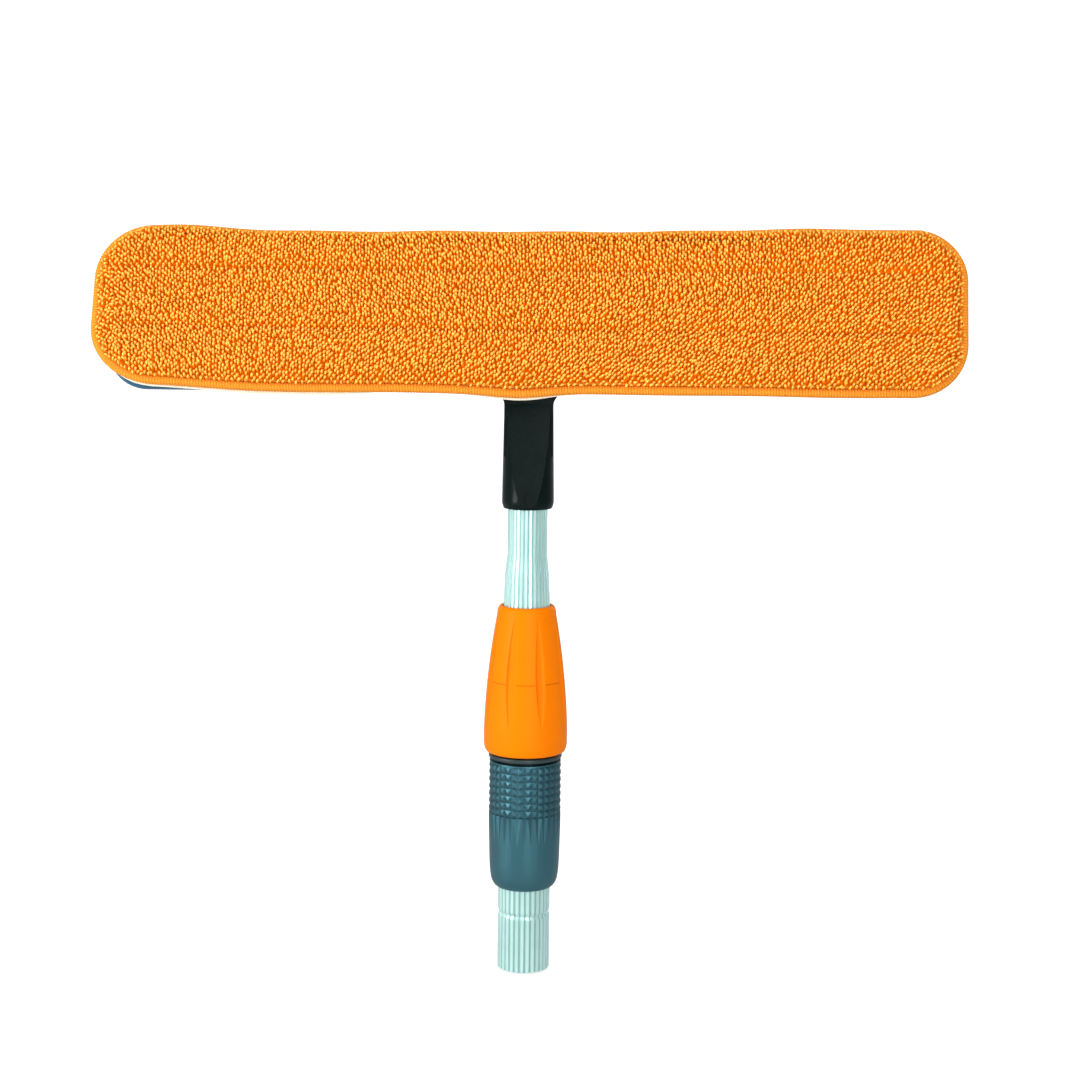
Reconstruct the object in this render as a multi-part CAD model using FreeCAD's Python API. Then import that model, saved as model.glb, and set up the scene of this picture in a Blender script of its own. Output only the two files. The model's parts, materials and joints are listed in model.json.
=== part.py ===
import FreeCAD, Part
import math
import os

# Window washer: a microfibre pad on a stiff plate, a two-way swivel, and a short telescopic
# pole with a twist lock. Millimetres. +Z runs up the pole, +X along the pad, and the pad's
# face looks towards -Y and a little up. The origin is the centre of the pole's open lower end.

# ---------------------------------------------------------------- clearances
FIT = 0.05            # radial gap between pieces that are assembled firmly
RUN = 0.05            # radial gap of a pin or a bush that turns or slides
SEAT = 0.10           # gap between faces that seat on each other
CONE_GAP = 0.12       # gap of the collet's cone to its seat when the lock is closed
SWIVEL_GAP = 0.40     # side gap between the swivel's ears and its tongue
SWEEP_GAP = 0.60      # gap between parts that swing past each other

# ---------------------------------------------------------------- fluted tubes
TUBE_LENGTH = 120.0   # outer tube
TUBE_OD = 25.4        # over the crests
TUBE_WALL = 1.2
FLUTES = 30
FLUTE_DEPTH = 0.45
FLUTE_SHARE = 0.45    # share of each pitch that the groove takes
BEAD_Z = 28.1         # rolled ring groove, above the open end
BEAD_HALF = 1.6
BEAD_DEPTH = 0.7
PLUG_LENGTH = 10.0    # end plug, which stands on the bead inside the tube
PLUG_FLOOR = 3.0
PLUG_WALL = 2.4
TELESCOPE_GAP = 0.3   # radial gap between the two tubes
INNER_WALL = 1.0
INNER_START = 6.0     # inner tube's lower end above the end plug
TAPER_RISE = 16.0     # inner tube's taper above the lock nut
TAPER_DROP = 0.7      # radius lost over that taper
NECK_RISE = 9.2       # shoulder from the taper to the neck
NECK_DROP = 1.0       # radius lost over the shoulder
NECK_LENGTH = 35.5    # straight neck, up to the end of the tube
NECK_SEAT = 13.5      # how far the neck reaches into the socket
BUSH_FLANGE = 3.0
BUSH_SPIGOT = 9.0
BUSH_WALL = 1.6

# ---------------------------------------------------------------- twist lock
GRIP_LOW = 41.3       # lower end of the grip sleeve
GRIP_LENGTH = 63.0
GRIP_WALL = 3.0       # over the lock body's sleeve
GRIP_LIP = 6.7        # length of the lip below the lock body
GRIP_TAPER = 12.0     # height of the lower rounding
GRIP_FOOT_EDGE = 0.6  # how far the foot is drawn in from the middle of the lip's wall
GRIP_FOOT_EASE = 1.0  # inset half way up the lower rounding
GRIP_BELLY = 0.3      # swell of the barrel
GRIP_BELLY_SHARE = 0.45
GRIP_TOP_CHAMFER = 0.8
SLEEVE_WALL = 1.6     # lock body, around the outer tube
RING_GAP = 1.3        # dark groove between the grip and the stop ring
RING_HEIGHT = 2.2     # stop ring
RING_WALL = 3.5       # stop ring, over the lock body's sleeve
BOSS_WALL = 2.8       # threaded boss, over the outer tube
BOSS_RISE = 10.0      # boss above the top of the outer tube
TUBE_STOP = 2.0       # lip that the outer tube's end seats against
THREAD_PITCH = 3.0
THREAD_DEPTH = 0.7
NUT_FOOT = 0.9        # gap between the stop ring and the nut
NUT_HEIGHT = 71.7
NUT_SKIRT = 4.6       # wall of the nut around the threaded boss
NUT_FOOT_ROUND = 5.0
NUT_FOOT_INSET = 1.6
NUT_STRAIGHT = 11.0   # height at which the nut starts to narrow
NUT_CROWN = 67.3      # height at which its rounded crown starts
NUT_CROWN_WALL = 3.05
NUT_BELLY = 1.05      # outward bulge of the long side, at its middle
NUT_MOUTH_GAP = 0.4   # radial gap to the inner tube
NUT_RIM = 0.65        # wall at the very top
NUT_FOOT_BEND = 0.35  # share of inset and height at the middle of the foot's rounding
NUT_CROWN_BEND_R = 0.25   # shares of inset and height at the middle of the crown's rounding
NUT_CROWN_BEND_Z = 0.62
LEAVES = 8
LEAF_FOOT = 13.6      # lower tip of a leaf-shaped flute, above the nut's foot
LEAF_LENGTH = 54.7
LEAF_WIDTH = 4.6
LEAF_DEPTH = 0.95
COLLET_WALL_LOW = 1.6
COLLET_WALL_HIGH = 2.8
COLLET_NECK_WALL = 2.5
COLLET_COLLAR_WALL = 4.0
COLLET_COLLAR = 3.0
COLLET_SLOTS = 4
COLLET_SLOT = 1.2
CLIP_GAP = 1.6        # snap ring above the boss
CLIP_HEIGHT = 1.2
CLIP_BITE = 0.7       # how far the snap ring sits in the nut's groove
CLIP_SPRING = 0.2     # gap inside the snap ring that it needs to be squeezed in
WASHER_HEIGHT = 1.0

# ---------------------------------------------------------------- socket and swivel
SOCKET_WALL = 2.95    # at its thickest, around the neck of the inner tube
SOCKET_FOOT_INSET = 0.85
SOCKET_FOOT_RISE = 4.0
SOCKET_FOOT_BEND_R = 0.3  # shares of inset and rise at the middle of that rounding
SOCKET_FOOT_BEND_Z = 0.4
SOCKET_SHANK = 50.0   # socket's foot to the top of its round shank
SOCKET_NARROWING = 0.75
FLAT_RISE = 13.5      # where the front and rear flats start, above the foot
FLAT_INSET = 2.15     # depth of the flats there
SPIGOT_DEPTH = 29.0   # socket's inner spigot, down inside the neck
SPIGOT_GAP = 0.1
TONGUE_THICKNESS = 10.0
TONGUE_RADIUS = 15.5
TONGUE_CROTCH = 5.0   # concave radius between the shank and the tongue's disc
SWAY_PIN_D = 6.0
EAR_RADIUS = 11.5     # knuckle's ears around the sway pin, down to the shank's top
EAR_THICKNESS = 5.0
NECK_HALF = 10.5      # half width of the knuckle's neck
KNUCKLE_WEB = 0.4     # web left between the tongue's path and the tilt boss
KNUCKLE_ROUND = 1.0   # rounding of the knuckle's outer edges
TILT_BOSS_R = 8.0
TILT_BOSS_WIDTH = 22.0
TILT_PIN_D = 5.0
TILT_WASHER = 0.9
TILT_WASHER_INSET = 0.5   # its radius under the boss's
PIN_HEAD = 1.6
PIN_HEAD_OVER = 2.0   # head radius over the pin's
PIN_TAIL = 1.0        # pin's end beyond its clip
CLIP_DISC = 1.2
SCREW_D = 3.0
SCREW_HEAD_D = 6.0
SCREW_HEAD = 1.8
SCREW_SLOT = 0.8      # width of a driver's slot
SOCKET_SCREW_RISE = 7.0
SOCKET_SCREW_BITE = 4.5
RIB_WIDTH = 2.4
RIB_HEIGHT = 6.0
RIB_PROUD = 0.5
RIB_RISE = 2.2

# ---------------------------------------------------------------- head
HEAD_TILT = 70.0      # angle of the face's normal from the pole at rest, towards -Y
BRACKET_REACH = 15.0  # tilt pin to the plate's rear face
BRACKET_BASE = 3.0
BRACKET_LENGTH = 50.0
BRACKET_HEIGHT = 30.0
BRACKET_CORNER = 5.0
BRACKET_EAR = 4.0
BRACKET_EAR_INSET = 2.0   # foot of an ear from the base's edge
SCREW_X = 20.5
SCREW_Y = 10.5
SCREW_BITE = 3.8
PLATE_END_MARGIN = 6.5    # pad's end beyond the plate's
PLATE_SIDE_MARGIN = 2.0   # pad's long edge beyond the plate's
PLATE_CORNER = 19.0
PLATE_THICKNESS = 4.5
PLATE_SKIN = 2.6
PLATE_RIM = 2.5
PLATE_RIB = 2.0
PLATE_RIB_PITCH = 28.0
PLATE_LONG_RIB_Y = 17.0
PLATE_LAND = 3.0      # solid land around the bracket's base
PLATE_ROUND = 1.0     # rounding of the plate's outer edges
STRIP_MARGIN = 15.5   # plate's end beyond a hook strip's
STRIP_HEIGHT = 16.0
STRIP_CORNER = 3.0
STRIP_THICKNESS = 2.0
STRIP_SUNK = 1.2
STRIP_Y = 22.0
PAD_LENGTH = 404.0
PAD_HEIGHT = 78.0
PAD_CORNER = 27.0
BINDING_WIDTH = 3.8
BACKING_THICKNESS = 1.0
CORE_THICKNESS = 4.0
PILE_THICKNESS = 4.6
PILE_INSET = 0.8
PILE_ROUND = 3.0

# ---------------------------------------------------------------- sizes worked out from those
tube_r = TUBE_OD / 2
bore_r = tube_r - TUBE_WALL
plug_low = BEAD_Z + BEAD_HALF + SEAT
plug_top = plug_low + PLUG_LENGTH
inner_r = bore_r - TELESCOPE_GAP
inner_bore_r = inner_r - INNER_WALL
inner_foot = plug_top + INNER_START
sleeve_bore_r = tube_r + FIT
sleeve_r = sleeve_bore_r + SLEEVE_WALL
grip_top = GRIP_LOW + GRIP_LENGTH
sleeve_foot = GRIP_LOW + GRIP_LIP
ring_low = grip_top + RING_GAP
ring_top = ring_low + RING_HEIGHT
boss_r = sleeve_bore_r + BOSS_WALL
boss_top = TUBE_LENGTH + BOSS_RISE
nut_foot = ring_top + NUT_FOOT
nut_top = nut_foot + NUT_HEIGHT
nut_bore_r = boss_r + SEAT
collet_bore_r = inner_r + SEAT
seat_foot = TUBE_LENGTH + TUBE_STOP
cone_low_r = collet_bore_r + COLLET_WALL_LOW
cone_high_r = collet_bore_r + COLLET_WALL_HIGH
clip_low = boss_top + CLIP_GAP
collar_low = clip_low + CLIP_HEIGHT + SEAT
collar_top = collar_low + COLLET_COLLAR
collar_r = collet_bore_r + COLLET_COLLAR_WALL
washer_low = collar_top + SEAT
nut_step = washer_low + WASHER_HEIGHT + SEAT
mouth_r = inner_r + NUT_MOUTH_GAP

taper_low = nut_top
taper_top = taper_low + TAPER_RISE
taper_r = inner_r - TAPER_DROP
neck_low = taper_top + NECK_RISE
neck_r = taper_r - NECK_DROP
neck_bore_r = neck_r - INNER_WALL
neck_top = neck_low + NECK_LENGTH

socket_foot = neck_top - NECK_SEAT
socket_r = neck_r + SOCKET_WALL
shank_top = socket_foot + SOCKET_SHANK
shank_top_r = socket_r - SOCKET_NARROWING
sway_z = shank_top + EAR_RADIUS
socket_screw_z = socket_foot + SOCKET_SCREW_RISE
tongue_half = TONGUE_THICKNESS / 2
ear_low_y = tongue_half + SWIVEL_GAP
ear_high_y = ear_low_y + EAR_THICKNESS
sway_pin_r = SWAY_PIN_D / 2
crotch_r = TONGUE_RADIUS + SWEEP_GAP
tilt_z = sway_z + crotch_r + KNUCKLE_WEB + TILT_BOSS_R
tilt_pin_r = TILT_PIN_D / 2
boss_half = TILT_BOSS_WIDTH / 2
washer_in_x = boss_half + SEAT / 2
washer_out_x = washer_in_x + TILT_WASHER
bracket_ear_x = washer_out_x + SEAT / 2
bracket_out_x = bracket_ear_x + BRACKET_EAR

plate_length = PAD_LENGTH - 2 * PLATE_END_MARGIN
plate_height = PAD_HEIGHT - 2 * PLATE_SIDE_MARGIN
plate_front = BRACKET_REACH + PLATE_THICKNESS
strip_length = plate_length - 2 * STRIP_MARGIN
strip_low = plate_front - STRIP_SUNK
strip_top = strip_low + STRIP_THICKNESS
pad_low = strip_top + SEAT
core_low = pad_low + BACKING_THICKNESS
pile_low = core_low + CORE_THICKNESS
pad_front = pile_low + PILE_THICKNESS


# ---------------------------------------------------------------- shape helpers
def vec(x, y, z):
    return FreeCAD.Vector(x, y, z)


def cylinder(radius, low, high):
    return Part.makeCylinder(radius, high - low, vec(0, 0, low))


def cylinder_x(radius, low, high, y=0.0, z=0.0):
    return Part.makeCylinder(radius, high - low, vec(low, y, z), vec(1, 0, 0))


def cylinder_y(radius, low, high, x=0.0, z=0.0):
    return Part.makeCylinder(radius, high - low, vec(x, low, z), vec(0, 1, 0))


def block(x, y, z):
    """Box between two limits on each axis."""
    return Part.makeBox(x[1] - x[0], y[1] - y[0], z[1] - z[0], vec(x[0], y[0], z[0]))


def outline(start, steps, place):
    """Closed wire. A step is an end point, or a pair of points: an arc's middle and its end."""
    edges = []
    here = start
    for step in steps:
        if isinstance(step[0], tuple):
            middle, end = step
            edges.append(Part.Arc(place(*here), place(*middle), place(*end)).toShape())
        else:
            end = step
            edges.append(Part.makeLine(place(*here), place(*end)))
        here = end
    if here != start:
        edges.append(Part.makeLine(place(*here), place(*start)))
    return Part.Wire(edges)


def turned(start, *steps):
    """Solid of revolution about Z from an outline of (radius, height) points."""
    wire = outline(start, steps, lambda r, z: vec(r, 0, z))
    return Part.Face(wire).revolve(vec(0, 0, 0), vec(0, 0, 1), 360)


def cut_along_y(low, high, start, *steps):
    """Prism along Y from an outline of (x, z) points."""
    wire = outline(start, steps, lambda x, z: vec(x, low, z))
    return Part.Face(wire).extrude(vec(0, high - low, 0))


def cut_along_x(low, high, start, *steps):
    """Prism along X from an outline of (y, z) points."""
    wire = outline(start, steps, lambda y, z: vec(low, y, z))
    return Part.Face(wire).extrude(vec(high - low, 0, 0))


def rounded_slab(length, height, corner, low, high, x=0.0, y=0.0):
    """Flat slab in the head's own frame, with round corners."""
    a, b, r = length / 2, height / 2, corner
    k = r * (1 - math.sqrt(0.5))
    steps = [
        (a - r, -b), ((a - k, -b + k), (a, -b + r)),
        (a, b - r), ((a - k, b - k), (a - r, b)),
        (-a + r, b), ((-a + k, b - k), (-a, b - r)),
        (-a, -b + r),
    ]
    edges_end = ((-a + k, -b + k), (-a + r, -b))
    wire = outline((-a + r, -b), steps + [edges_end], lambda u, v: vec(x + u, y + v, low))
    return Part.Face(wire).extrude(vec(0, 0, high - low))


def eased(slab, level, radius):
    """Slab with all its edges at one height rounded."""
    level_edges = [e for e in slab.Edges if e.BoundBox.ZLength < 0.01 and abs(e.BoundBox.ZMin - level) < 0.01]
    return slab.makeFillet(radius, level_edges)


def round_ended(rod, radius):
    """Cylinder with both its rims rounded."""
    return rod.makeFillet(radius, [e for e in rod.Edges if isinstance(e.Curve, Part.Circle)])


def fluted_wire(radius, z):
    """Round section with FLUTES shallow grooves: crest arcs and groove arcs by turns."""
    pitch = 2 * math.pi / FLUTES
    crest = pitch * (1 - FLUTE_SHARE)

    def point(angle, r):
        return vec(r * math.cos(angle), r * math.sin(angle), z)

    edges = []
    for k in range(FLUTES):
        start = k * pitch
        turn = start + crest
        end = start + pitch
        crest_points = [point(start, radius), point(start + crest / 2, radius), point(turn, radius)]
        root = point((turn + end) / 2, radius - FLUTE_DEPTH)
        edges.append(Part.Arc(*crest_points).toShape())
        edges.append(Part.Arc(crest_points[2], root, point(end, radius)).toShape())
    return Part.Wire(edges)


def fluted_bar(stations):
    """Fluted bar through (height, radius) stations, straight from each one to the next."""
    wires = [fluted_wire(radius, z) for z, radius in stations]
    return Part.makeLoft(wires, True, True)


def save(node, shape):
    """Write one node as a STEP file, after checking that its solids are sound."""
    if shape.ShapeType == "Compound" and len(shape.Solids) == 1:
        shape = shape.Solids[0]
    if not shape.isValid() or not shape.Solids:
        raise ValueError(node + " is not a valid solid")
    shape.exportStep(os.path.join("parts", node + ".step"))
    box = shape.BoundBox
    print("%-20s solids %2d  volume %10.1f  z %7.2f .. %7.2f" % (
        node, len(shape.Solids), shape.Volume, box.ZMin, box.ZMax))


def save_head(node, shape):
    """Turn a piece drawn in the head's frame about the tilt pin, and write it."""
    placed = shape.copy()
    placed.rotate(vec(0, 0, 0), vec(1, 0, 0), HEAD_TILT)
    placed.translate(vec(0, 0, tilt_z))
    save(node, placed)


# ---------------------------------------------------------------- pole
def bead_profile(radius, depth, half):
    """Outline steps of a V-shaped bead at BEAD_Z that stands depth inside radius."""
    return [(radius, BEAD_Z - half), (radius - depth, BEAD_Z), (radius, BEAD_Z + half)]


def outer_tube():
    bar = fluted_bar([
        (0.0, tube_r), (BEAD_Z - BEAD_HALF, tube_r), (BEAD_Z, tube_r - BEAD_DEPTH),
        (BEAD_Z + BEAD_HALF, tube_r), (TUBE_LENGTH, tube_r)])
    inside = bead_profile(bore_r, BEAD_DEPTH, BEAD_HALF)
    return bar.cut(turned((0, -1), (bore_r, -1), *inside, (bore_r, TUBE_LENGTH + 1),
                          (0, TUBE_LENGTH + 1)))


def end_plug():
    r = bore_r - FIT
    cup = cylinder(r, plug_low, plug_top)
    return cup.cut(cylinder(r - PLUG_WALL, plug_low + PLUG_FLOOR, plug_top + 1))


def lock_body():
    thread_root = boss_r - THREAD_DEPTH
    body = turned(
        (sleeve_bore_r, sleeve_foot), (sleeve_r, sleeve_foot), (sleeve_r, ring_top),
        (boss_r, ring_top), (boss_r, boss_top), (cone_high_r + CONE_GAP, boss_top),
        (cone_low_r + CONE_GAP, seat_foot), (bore_r, seat_foot), (bore_r, TUBE_LENGTH + FIT),
        (sleeve_bore_r, TUBE_LENGTH + FIT))
    turns = int((boss_top - ring_top - THREAD_PITCH) / THREAD_PITCH)
    half = THREAD_PITCH / 4
    for k in range(turns):
        z = ring_top + THREAD_PITCH * (k + 1)
        body = body.cut(turned(
            (boss_r + 1, z - half - 1), (boss_r + 1, z + half + 1),
            (thread_root, z + half / 2), (thread_root, z - half / 2)))
    return body


def stop_ring():
    r = sleeve_r + FIT
    out = sleeve_r + RING_WALL
    soft = RING_HEIGHT / 3
    k = soft * (1 - math.sqrt(0.5))
    return turned(
        (r, ring_low), (out - soft, ring_low), ((out - k, ring_low + k), (out, ring_low + soft)),
        (out, ring_top - soft), ((out - k, ring_top - k), (out - soft, ring_top)), (r, ring_top))


def grip_sleeve():
    lip_r = tube_r + FIT
    seat_r = sleeve_r + FIT
    out = sleeve_r + GRIP_WALL
    foot_r = lip_r + GRIP_WALL / 2
    barrel_r = out + GRIP_BELLY
    belly = GRIP_LOW + GRIP_LENGTH * GRIP_BELLY_SHARE
    return turned(
        (lip_r, GRIP_LOW), (foot_r - GRIP_FOOT_EDGE, GRIP_LOW),
        ((out - GRIP_FOOT_EASE, GRIP_LOW + GRIP_TAPER / 2), (out, GRIP_LOW + GRIP_TAPER)),
        (barrel_r, belly), (barrel_r, grip_top - GRIP_TOP_CHAMFER),
        (barrel_r - GRIP_TOP_CHAMFER, grip_top),
        (seat_r, grip_top), (seat_r, sleeve_foot - SEAT), (lip_r, sleeve_foot - SEAT))


# ---------------------------------------------------------------- twist lock
def lock_collet():
    base = seat_foot + SEAT
    body = turned(
        (collet_bore_r, base), (cone_low_r, base), (cone_high_r, boss_top + SEAT),
        (collet_bore_r + COLLET_NECK_WALL, boss_top + CLIP_GAP / 2),
        (collet_bore_r + COLLET_NECK_WALL, collar_low), (collar_r, collar_low),
        (collar_r, collar_top), (collet_bore_r, collar_top))
    half = COLLET_SLOT / 2
    for k in range(COLLET_SLOTS):
        slot = block((0, collar_r + 1), (-half, half), (base - 1, clip_low))
        slot.rotate(vec(0, 0, 0), vec(0, 0, 1), 360.0 * k / COLLET_SLOTS)
        body = body.cut(slot)
    return body


def collet_clip():
    inner = collet_bore_r + COLLET_NECK_WALL + CLIP_SPRING
    return turned(
        (inner, clip_low), (nut_bore_r + CLIP_BITE, clip_low),
        (nut_bore_r + CLIP_BITE, clip_low + CLIP_HEIGHT), (inner, clip_low + CLIP_HEIGHT))


def thrust_washer():
    top = washer_low + WASHER_HEIGHT
    return turned((mouth_r, washer_low), (nut_bore_r - SEAT, washer_low),
                  (nut_bore_r - SEAT, top), (mouth_r, top))


def nut_outside():
    """Straight skirt, a long convex side and a rounded crown, as (radius, height) steps."""
    skirt_r = nut_bore_r + NUT_SKIRT
    crown_r = inner_r + NUT_CROWN_WALL
    rim_r = mouth_r + NUT_RIM
    side_low = nut_foot + NUT_STRAIGHT
    side_top = nut_foot + NUT_CROWN
    middle = ((skirt_r + crown_r) / 2 + NUT_BELLY, (side_low + side_top) / 2)
    foot = (skirt_r - NUT_FOOT_INSET, nut_foot)
    foot_middle = (skirt_r - NUT_FOOT_INSET * NUT_FOOT_BEND, nut_foot + NUT_FOOT_ROUND * NUT_FOOT_BEND)
    crown_middle = (crown_r - (crown_r - rim_r) * NUT_CROWN_BEND_R,
                    side_top + (nut_top - side_top) * NUT_CROWN_BEND_Z)
    return [foot, (foot_middle, (skirt_r, nut_foot + NUT_FOOT_ROUND)), (skirt_r, side_low),
            (middle, (crown_r, side_top)), (crown_middle, (rim_r, nut_top))]


def leaf_cutter():
    """Spindle whose cut in the nut's side is a leaf with two pointed ends."""
    skirt_r = nut_bore_r + NUT_SKIRT
    crown_r = inner_r + NUT_CROWN_WALL
    slope = (skirt_r - crown_r) / (NUT_CROWN - NUT_STRAIGHT)

    def side_r(height):
        part = (height - NUT_STRAIGHT) / (NUT_CROWN - NUT_STRAIGHT)
        return skirt_r - slope * (height - NUT_STRAIGHT) + 4 * NUT_BELLY * part * (1 - part)

    swell = (LEAF_WIDTH ** 2 / 4 + LEAF_DEPTH ** 2) / (2 * LEAF_DEPTH)
    top = LEAF_FOOT + LEAF_LENGTH
    half = LEAF_LENGTH / 2
    middle = (LEAF_FOOT + top) / 2
    lift = swell - LEAF_DEPTH
    spindle = turned((0, -half), ((swell, 0), (0, half)))
    lean = math.degrees(math.atan((side_r(LEAF_FOOT) - side_r(top)) / LEAF_LENGTH))
    spindle.rotate(vec(0, 0, 0), vec(0, 1, 0), -lean)
    spindle.translate(vec(side_r(middle) + lift, 0, nut_foot + middle))
    return spindle


def lock_nut():
    clip_r = nut_bore_r + CLIP_BITE + SEAT
    steps = nut_outside() + [
        (mouth_r, nut_top), (mouth_r, nut_step), (nut_bore_r, nut_step),
        (nut_bore_r, clip_low + CLIP_HEIGHT + SEAT / 2), (clip_r, clip_low + CLIP_HEIGHT + SEAT / 2),
        (clip_r, clip_low - SEAT / 2), (nut_bore_r, clip_low - SEAT / 2)]
    nut = turned((nut_bore_r, nut_foot), *steps)
    leaf = leaf_cutter()
    for k in range(LEAVES):
        cutter = leaf.copy()
        cutter.rotate(vec(0, 0, 0), vec(0, 0, 1), 360.0 * (k + 0.5) / LEAVES)
        nut = nut.cut(cutter)
    return nut


# ---------------------------------------------------------------- inner pole
def inner_tube():
    outside = fluted_bar([
        (inner_foot, inner_r), (taper_low, inner_r), (taper_top, taper_r),
        (neck_low, neck_r), (neck_top, neck_r)])
    taper_bore_r = inner_bore_r - TAPER_DROP
    inside = turned(
        (0, inner_foot - 1), (inner_bore_r, inner_foot - 1), (inner_bore_r, taper_low),
        (taper_bore_r, taper_top), (neck_bore_r, neck_low), (neck_bore_r, neck_top + 1),
        (0, neck_top + 1))
    screw_hole = cylinder_y(SCREW_D / 2 + FIT, 0, socket_r, 0, socket_screw_z)
    return outside.cut(inside).cut(screw_hole)


def guide_bush():
    low = inner_foot - BUSH_FLANGE
    spigot_r = inner_bore_r - FIT
    return turned(
        (spigot_r - BUSH_WALL, low), (bore_r - RUN, low), (bore_r - RUN, inner_foot - FIT),
        (spigot_r, inner_foot - FIT), (spigot_r, inner_foot + BUSH_SPIGOT),
        (spigot_r - BUSH_WALL, inner_foot + BUSH_SPIGOT))


def tongue():
    """Flat tongue: a disc about the sway pin, joined to the shank by two concave arcs."""
    reach = shank_top_r + TONGUE_CROTCH
    span = TONGUE_RADIUS + TONGUE_CROTCH
    drop = math.sqrt(span ** 2 - reach ** 2)
    low = sway_z - drop
    meet = (reach * TONGUE_RADIUS / span, sway_z - drop * TONGUE_RADIUS / span)
    lean = math.atan2(drop, reach) / 2
    bend = (reach - TONGUE_CROTCH * math.cos(lean), low + TONGUE_CROTCH * math.sin(lean))
    foot = shank_top - SOCKET_SHANK / 2
    web = cut_along_y(
        -tongue_half, tongue_half, (-shank_top_r, foot), (shank_top_r, foot), (shank_top_r, low),
        (bend, meet), (-meet[0], meet[1]), ((-bend[0], bend[1]), (-shank_top_r, low)))
    return web.fuse(cylinder_y(TONGUE_RADIUS, -tongue_half, tongue_half, 0, sway_z))


def socket():
    foot_middle = (socket_r - SOCKET_FOOT_INSET * SOCKET_FOOT_BEND_R,
                   socket_foot + SOCKET_FOOT_RISE * SOCKET_FOOT_BEND_Z)
    shank = turned(
        (0, socket_foot), (socket_r - SOCKET_FOOT_INSET, socket_foot),
        (foot_middle, (socket_r, socket_foot + SOCKET_FOOT_RISE)),
        (shank_top_r, shank_top), (0, shank_top))
    flat_y = socket_r - FLAT_INSET
    flat_z = socket_foot + FLAT_RISE
    far = 3 * socket_r
    lean = (flat_y - tongue_half) / (shank_top - flat_z)
    for side in (-1, 1):
        shank = shank.cut(cut_along_x(
            -far, far, (side * (flat_y + lean * FLAT_RISE), socket_foot),
            (side * tongue_half, shank_top), (side * tongue_half, shank_top + 1),
            (side * far, shank_top + 1), (side * far, socket_foot)))
    body = shank.fuse(tongue())
    rib_low = socket_foot + RIB_RISE
    body = body.fuse(block((-RIB_WIDTH / 2, RIB_WIDTH / 2), (-socket_r - RIB_PROUD, -socket_r + 1),
                           (rib_low, rib_low + RIB_HEIGHT)))
    body = body.cut(cylinder(neck_r + FIT, socket_foot - 1, neck_top + SEAT))
    body = body.fuse(cylinder(neck_bore_r - SPIGOT_GAP, socket_foot + NECK_SEAT - SPIGOT_DEPTH,
                              neck_top + 2 * SEAT))
    hole_y = socket_r + 1
    tip_y = socket_r - SOCKET_SCREW_BITE - SOCKET_WALL - SEAT
    body = body.cut(cylinder_y(SCREW_D / 2 + FIT, tip_y, hole_y, 0, socket_screw_z))
    body = body.cut(cylinder_y(sway_pin_r + RUN, -far, far, 0, sway_z))
    return body.removeSplitter()


def socket_screw():
    z = socket_screw_z
    tip_y = socket_r - SOCKET_SCREW_BITE - SOCKET_WALL
    shank = cylinder_y(SCREW_D / 2, tip_y, socket_r + SEAT, 0, z)
    head = cylinder_y(SCREW_HEAD_D / 2, socket_r + SEAT, socket_r + SEAT + SCREW_HEAD, 0, z)
    head = head.makeFillet(SCREW_HEAD / 2, [head.Edges[0]])
    slot = block((-SCREW_HEAD_D, SCREW_HEAD_D), (socket_r + SCREW_HEAD / 2, socket_r + 2 * SCREW_HEAD),
                 (z - SCREW_SLOT / 2, z + SCREW_SLOT / 2))
    return shank.fuse(head.cut(slot))


# ---------------------------------------------------------------- swivel
def knuckle():
    """Fork about the sway pin, with a cross boss for the tilt pin on top."""
    neck_top_z = tilt_z - TILT_BOSS_R / 3
    neck = block((-NECK_HALF, NECK_HALF), (-ear_high_y, ear_high_y), (sway_z, neck_top_z))
    neck = neck.makeFillet(KNUCKLE_ROUND, [e for e in neck.Edges if e.BoundBox.ZLength > KNUCKLE_ROUND])
    ears = round_ended(cylinder_y(EAR_RADIUS, -ear_high_y, ear_high_y, 0, sway_z), KNUCKLE_ROUND)
    boss = round_ended(cylinder_x(TILT_BOSS_R, -boss_half, boss_half, 0, tilt_z), KNUCKLE_ROUND)
    body = neck.fuse([ears, boss])
    gap = cylinder_y(crotch_r, -ear_low_y, ear_low_y, 0, sway_z)
    body = body.cut(gap)
    body = body.cut(block((-2 * crotch_r, 2 * crotch_r), (-ear_low_y, ear_low_y),
                          (sway_z - 2 * crotch_r, sway_z)))
    body = body.cut(cylinder_y(sway_pin_r + FIT, -2 * ear_high_y, 2 * ear_high_y, 0, sway_z))
    body = body.cut(cylinder_x(tilt_pin_r + RUN, -boss_half - 1, boss_half + 1, 0, tilt_z))
    return body.removeSplitter()


def headed_pin(radius, low, high, axis):
    """Pin along +axis with a head below low; it sticks out past high for its clip."""
    head_r = radius + PIN_HEAD_OVER
    make = cylinder_y if axis == "y" else cylinder_x
    if axis == "y":
        shank = make(radius, low, high + CLIP_DISC + PIN_TAIL, 0, sway_z)
        head = make(head_r, low - PIN_HEAD, low, 0, sway_z)
    else:
        shank = make(radius, low, high + CLIP_DISC + PIN_TAIL)
        head = make(head_r, low - PIN_HEAD, low)
    return shank.fuse(head)


def sway_pin():
    return headed_pin(sway_pin_r, -ear_high_y, ear_high_y, "y")


def sway_pin_clip():
    z = sway_z
    low = ear_high_y + FIT
    disc = cylinder_y(sway_pin_r + PIN_HEAD_OVER, low, low + CLIP_DISC, 0, z)
    return disc.cut(cylinder_y(sway_pin_r + FIT, low - 1, low + CLIP_DISC + 1, 0, z))


def tilt_pin():
    return headed_pin(tilt_pin_r, -bracket_out_x, bracket_out_x, "x")


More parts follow.
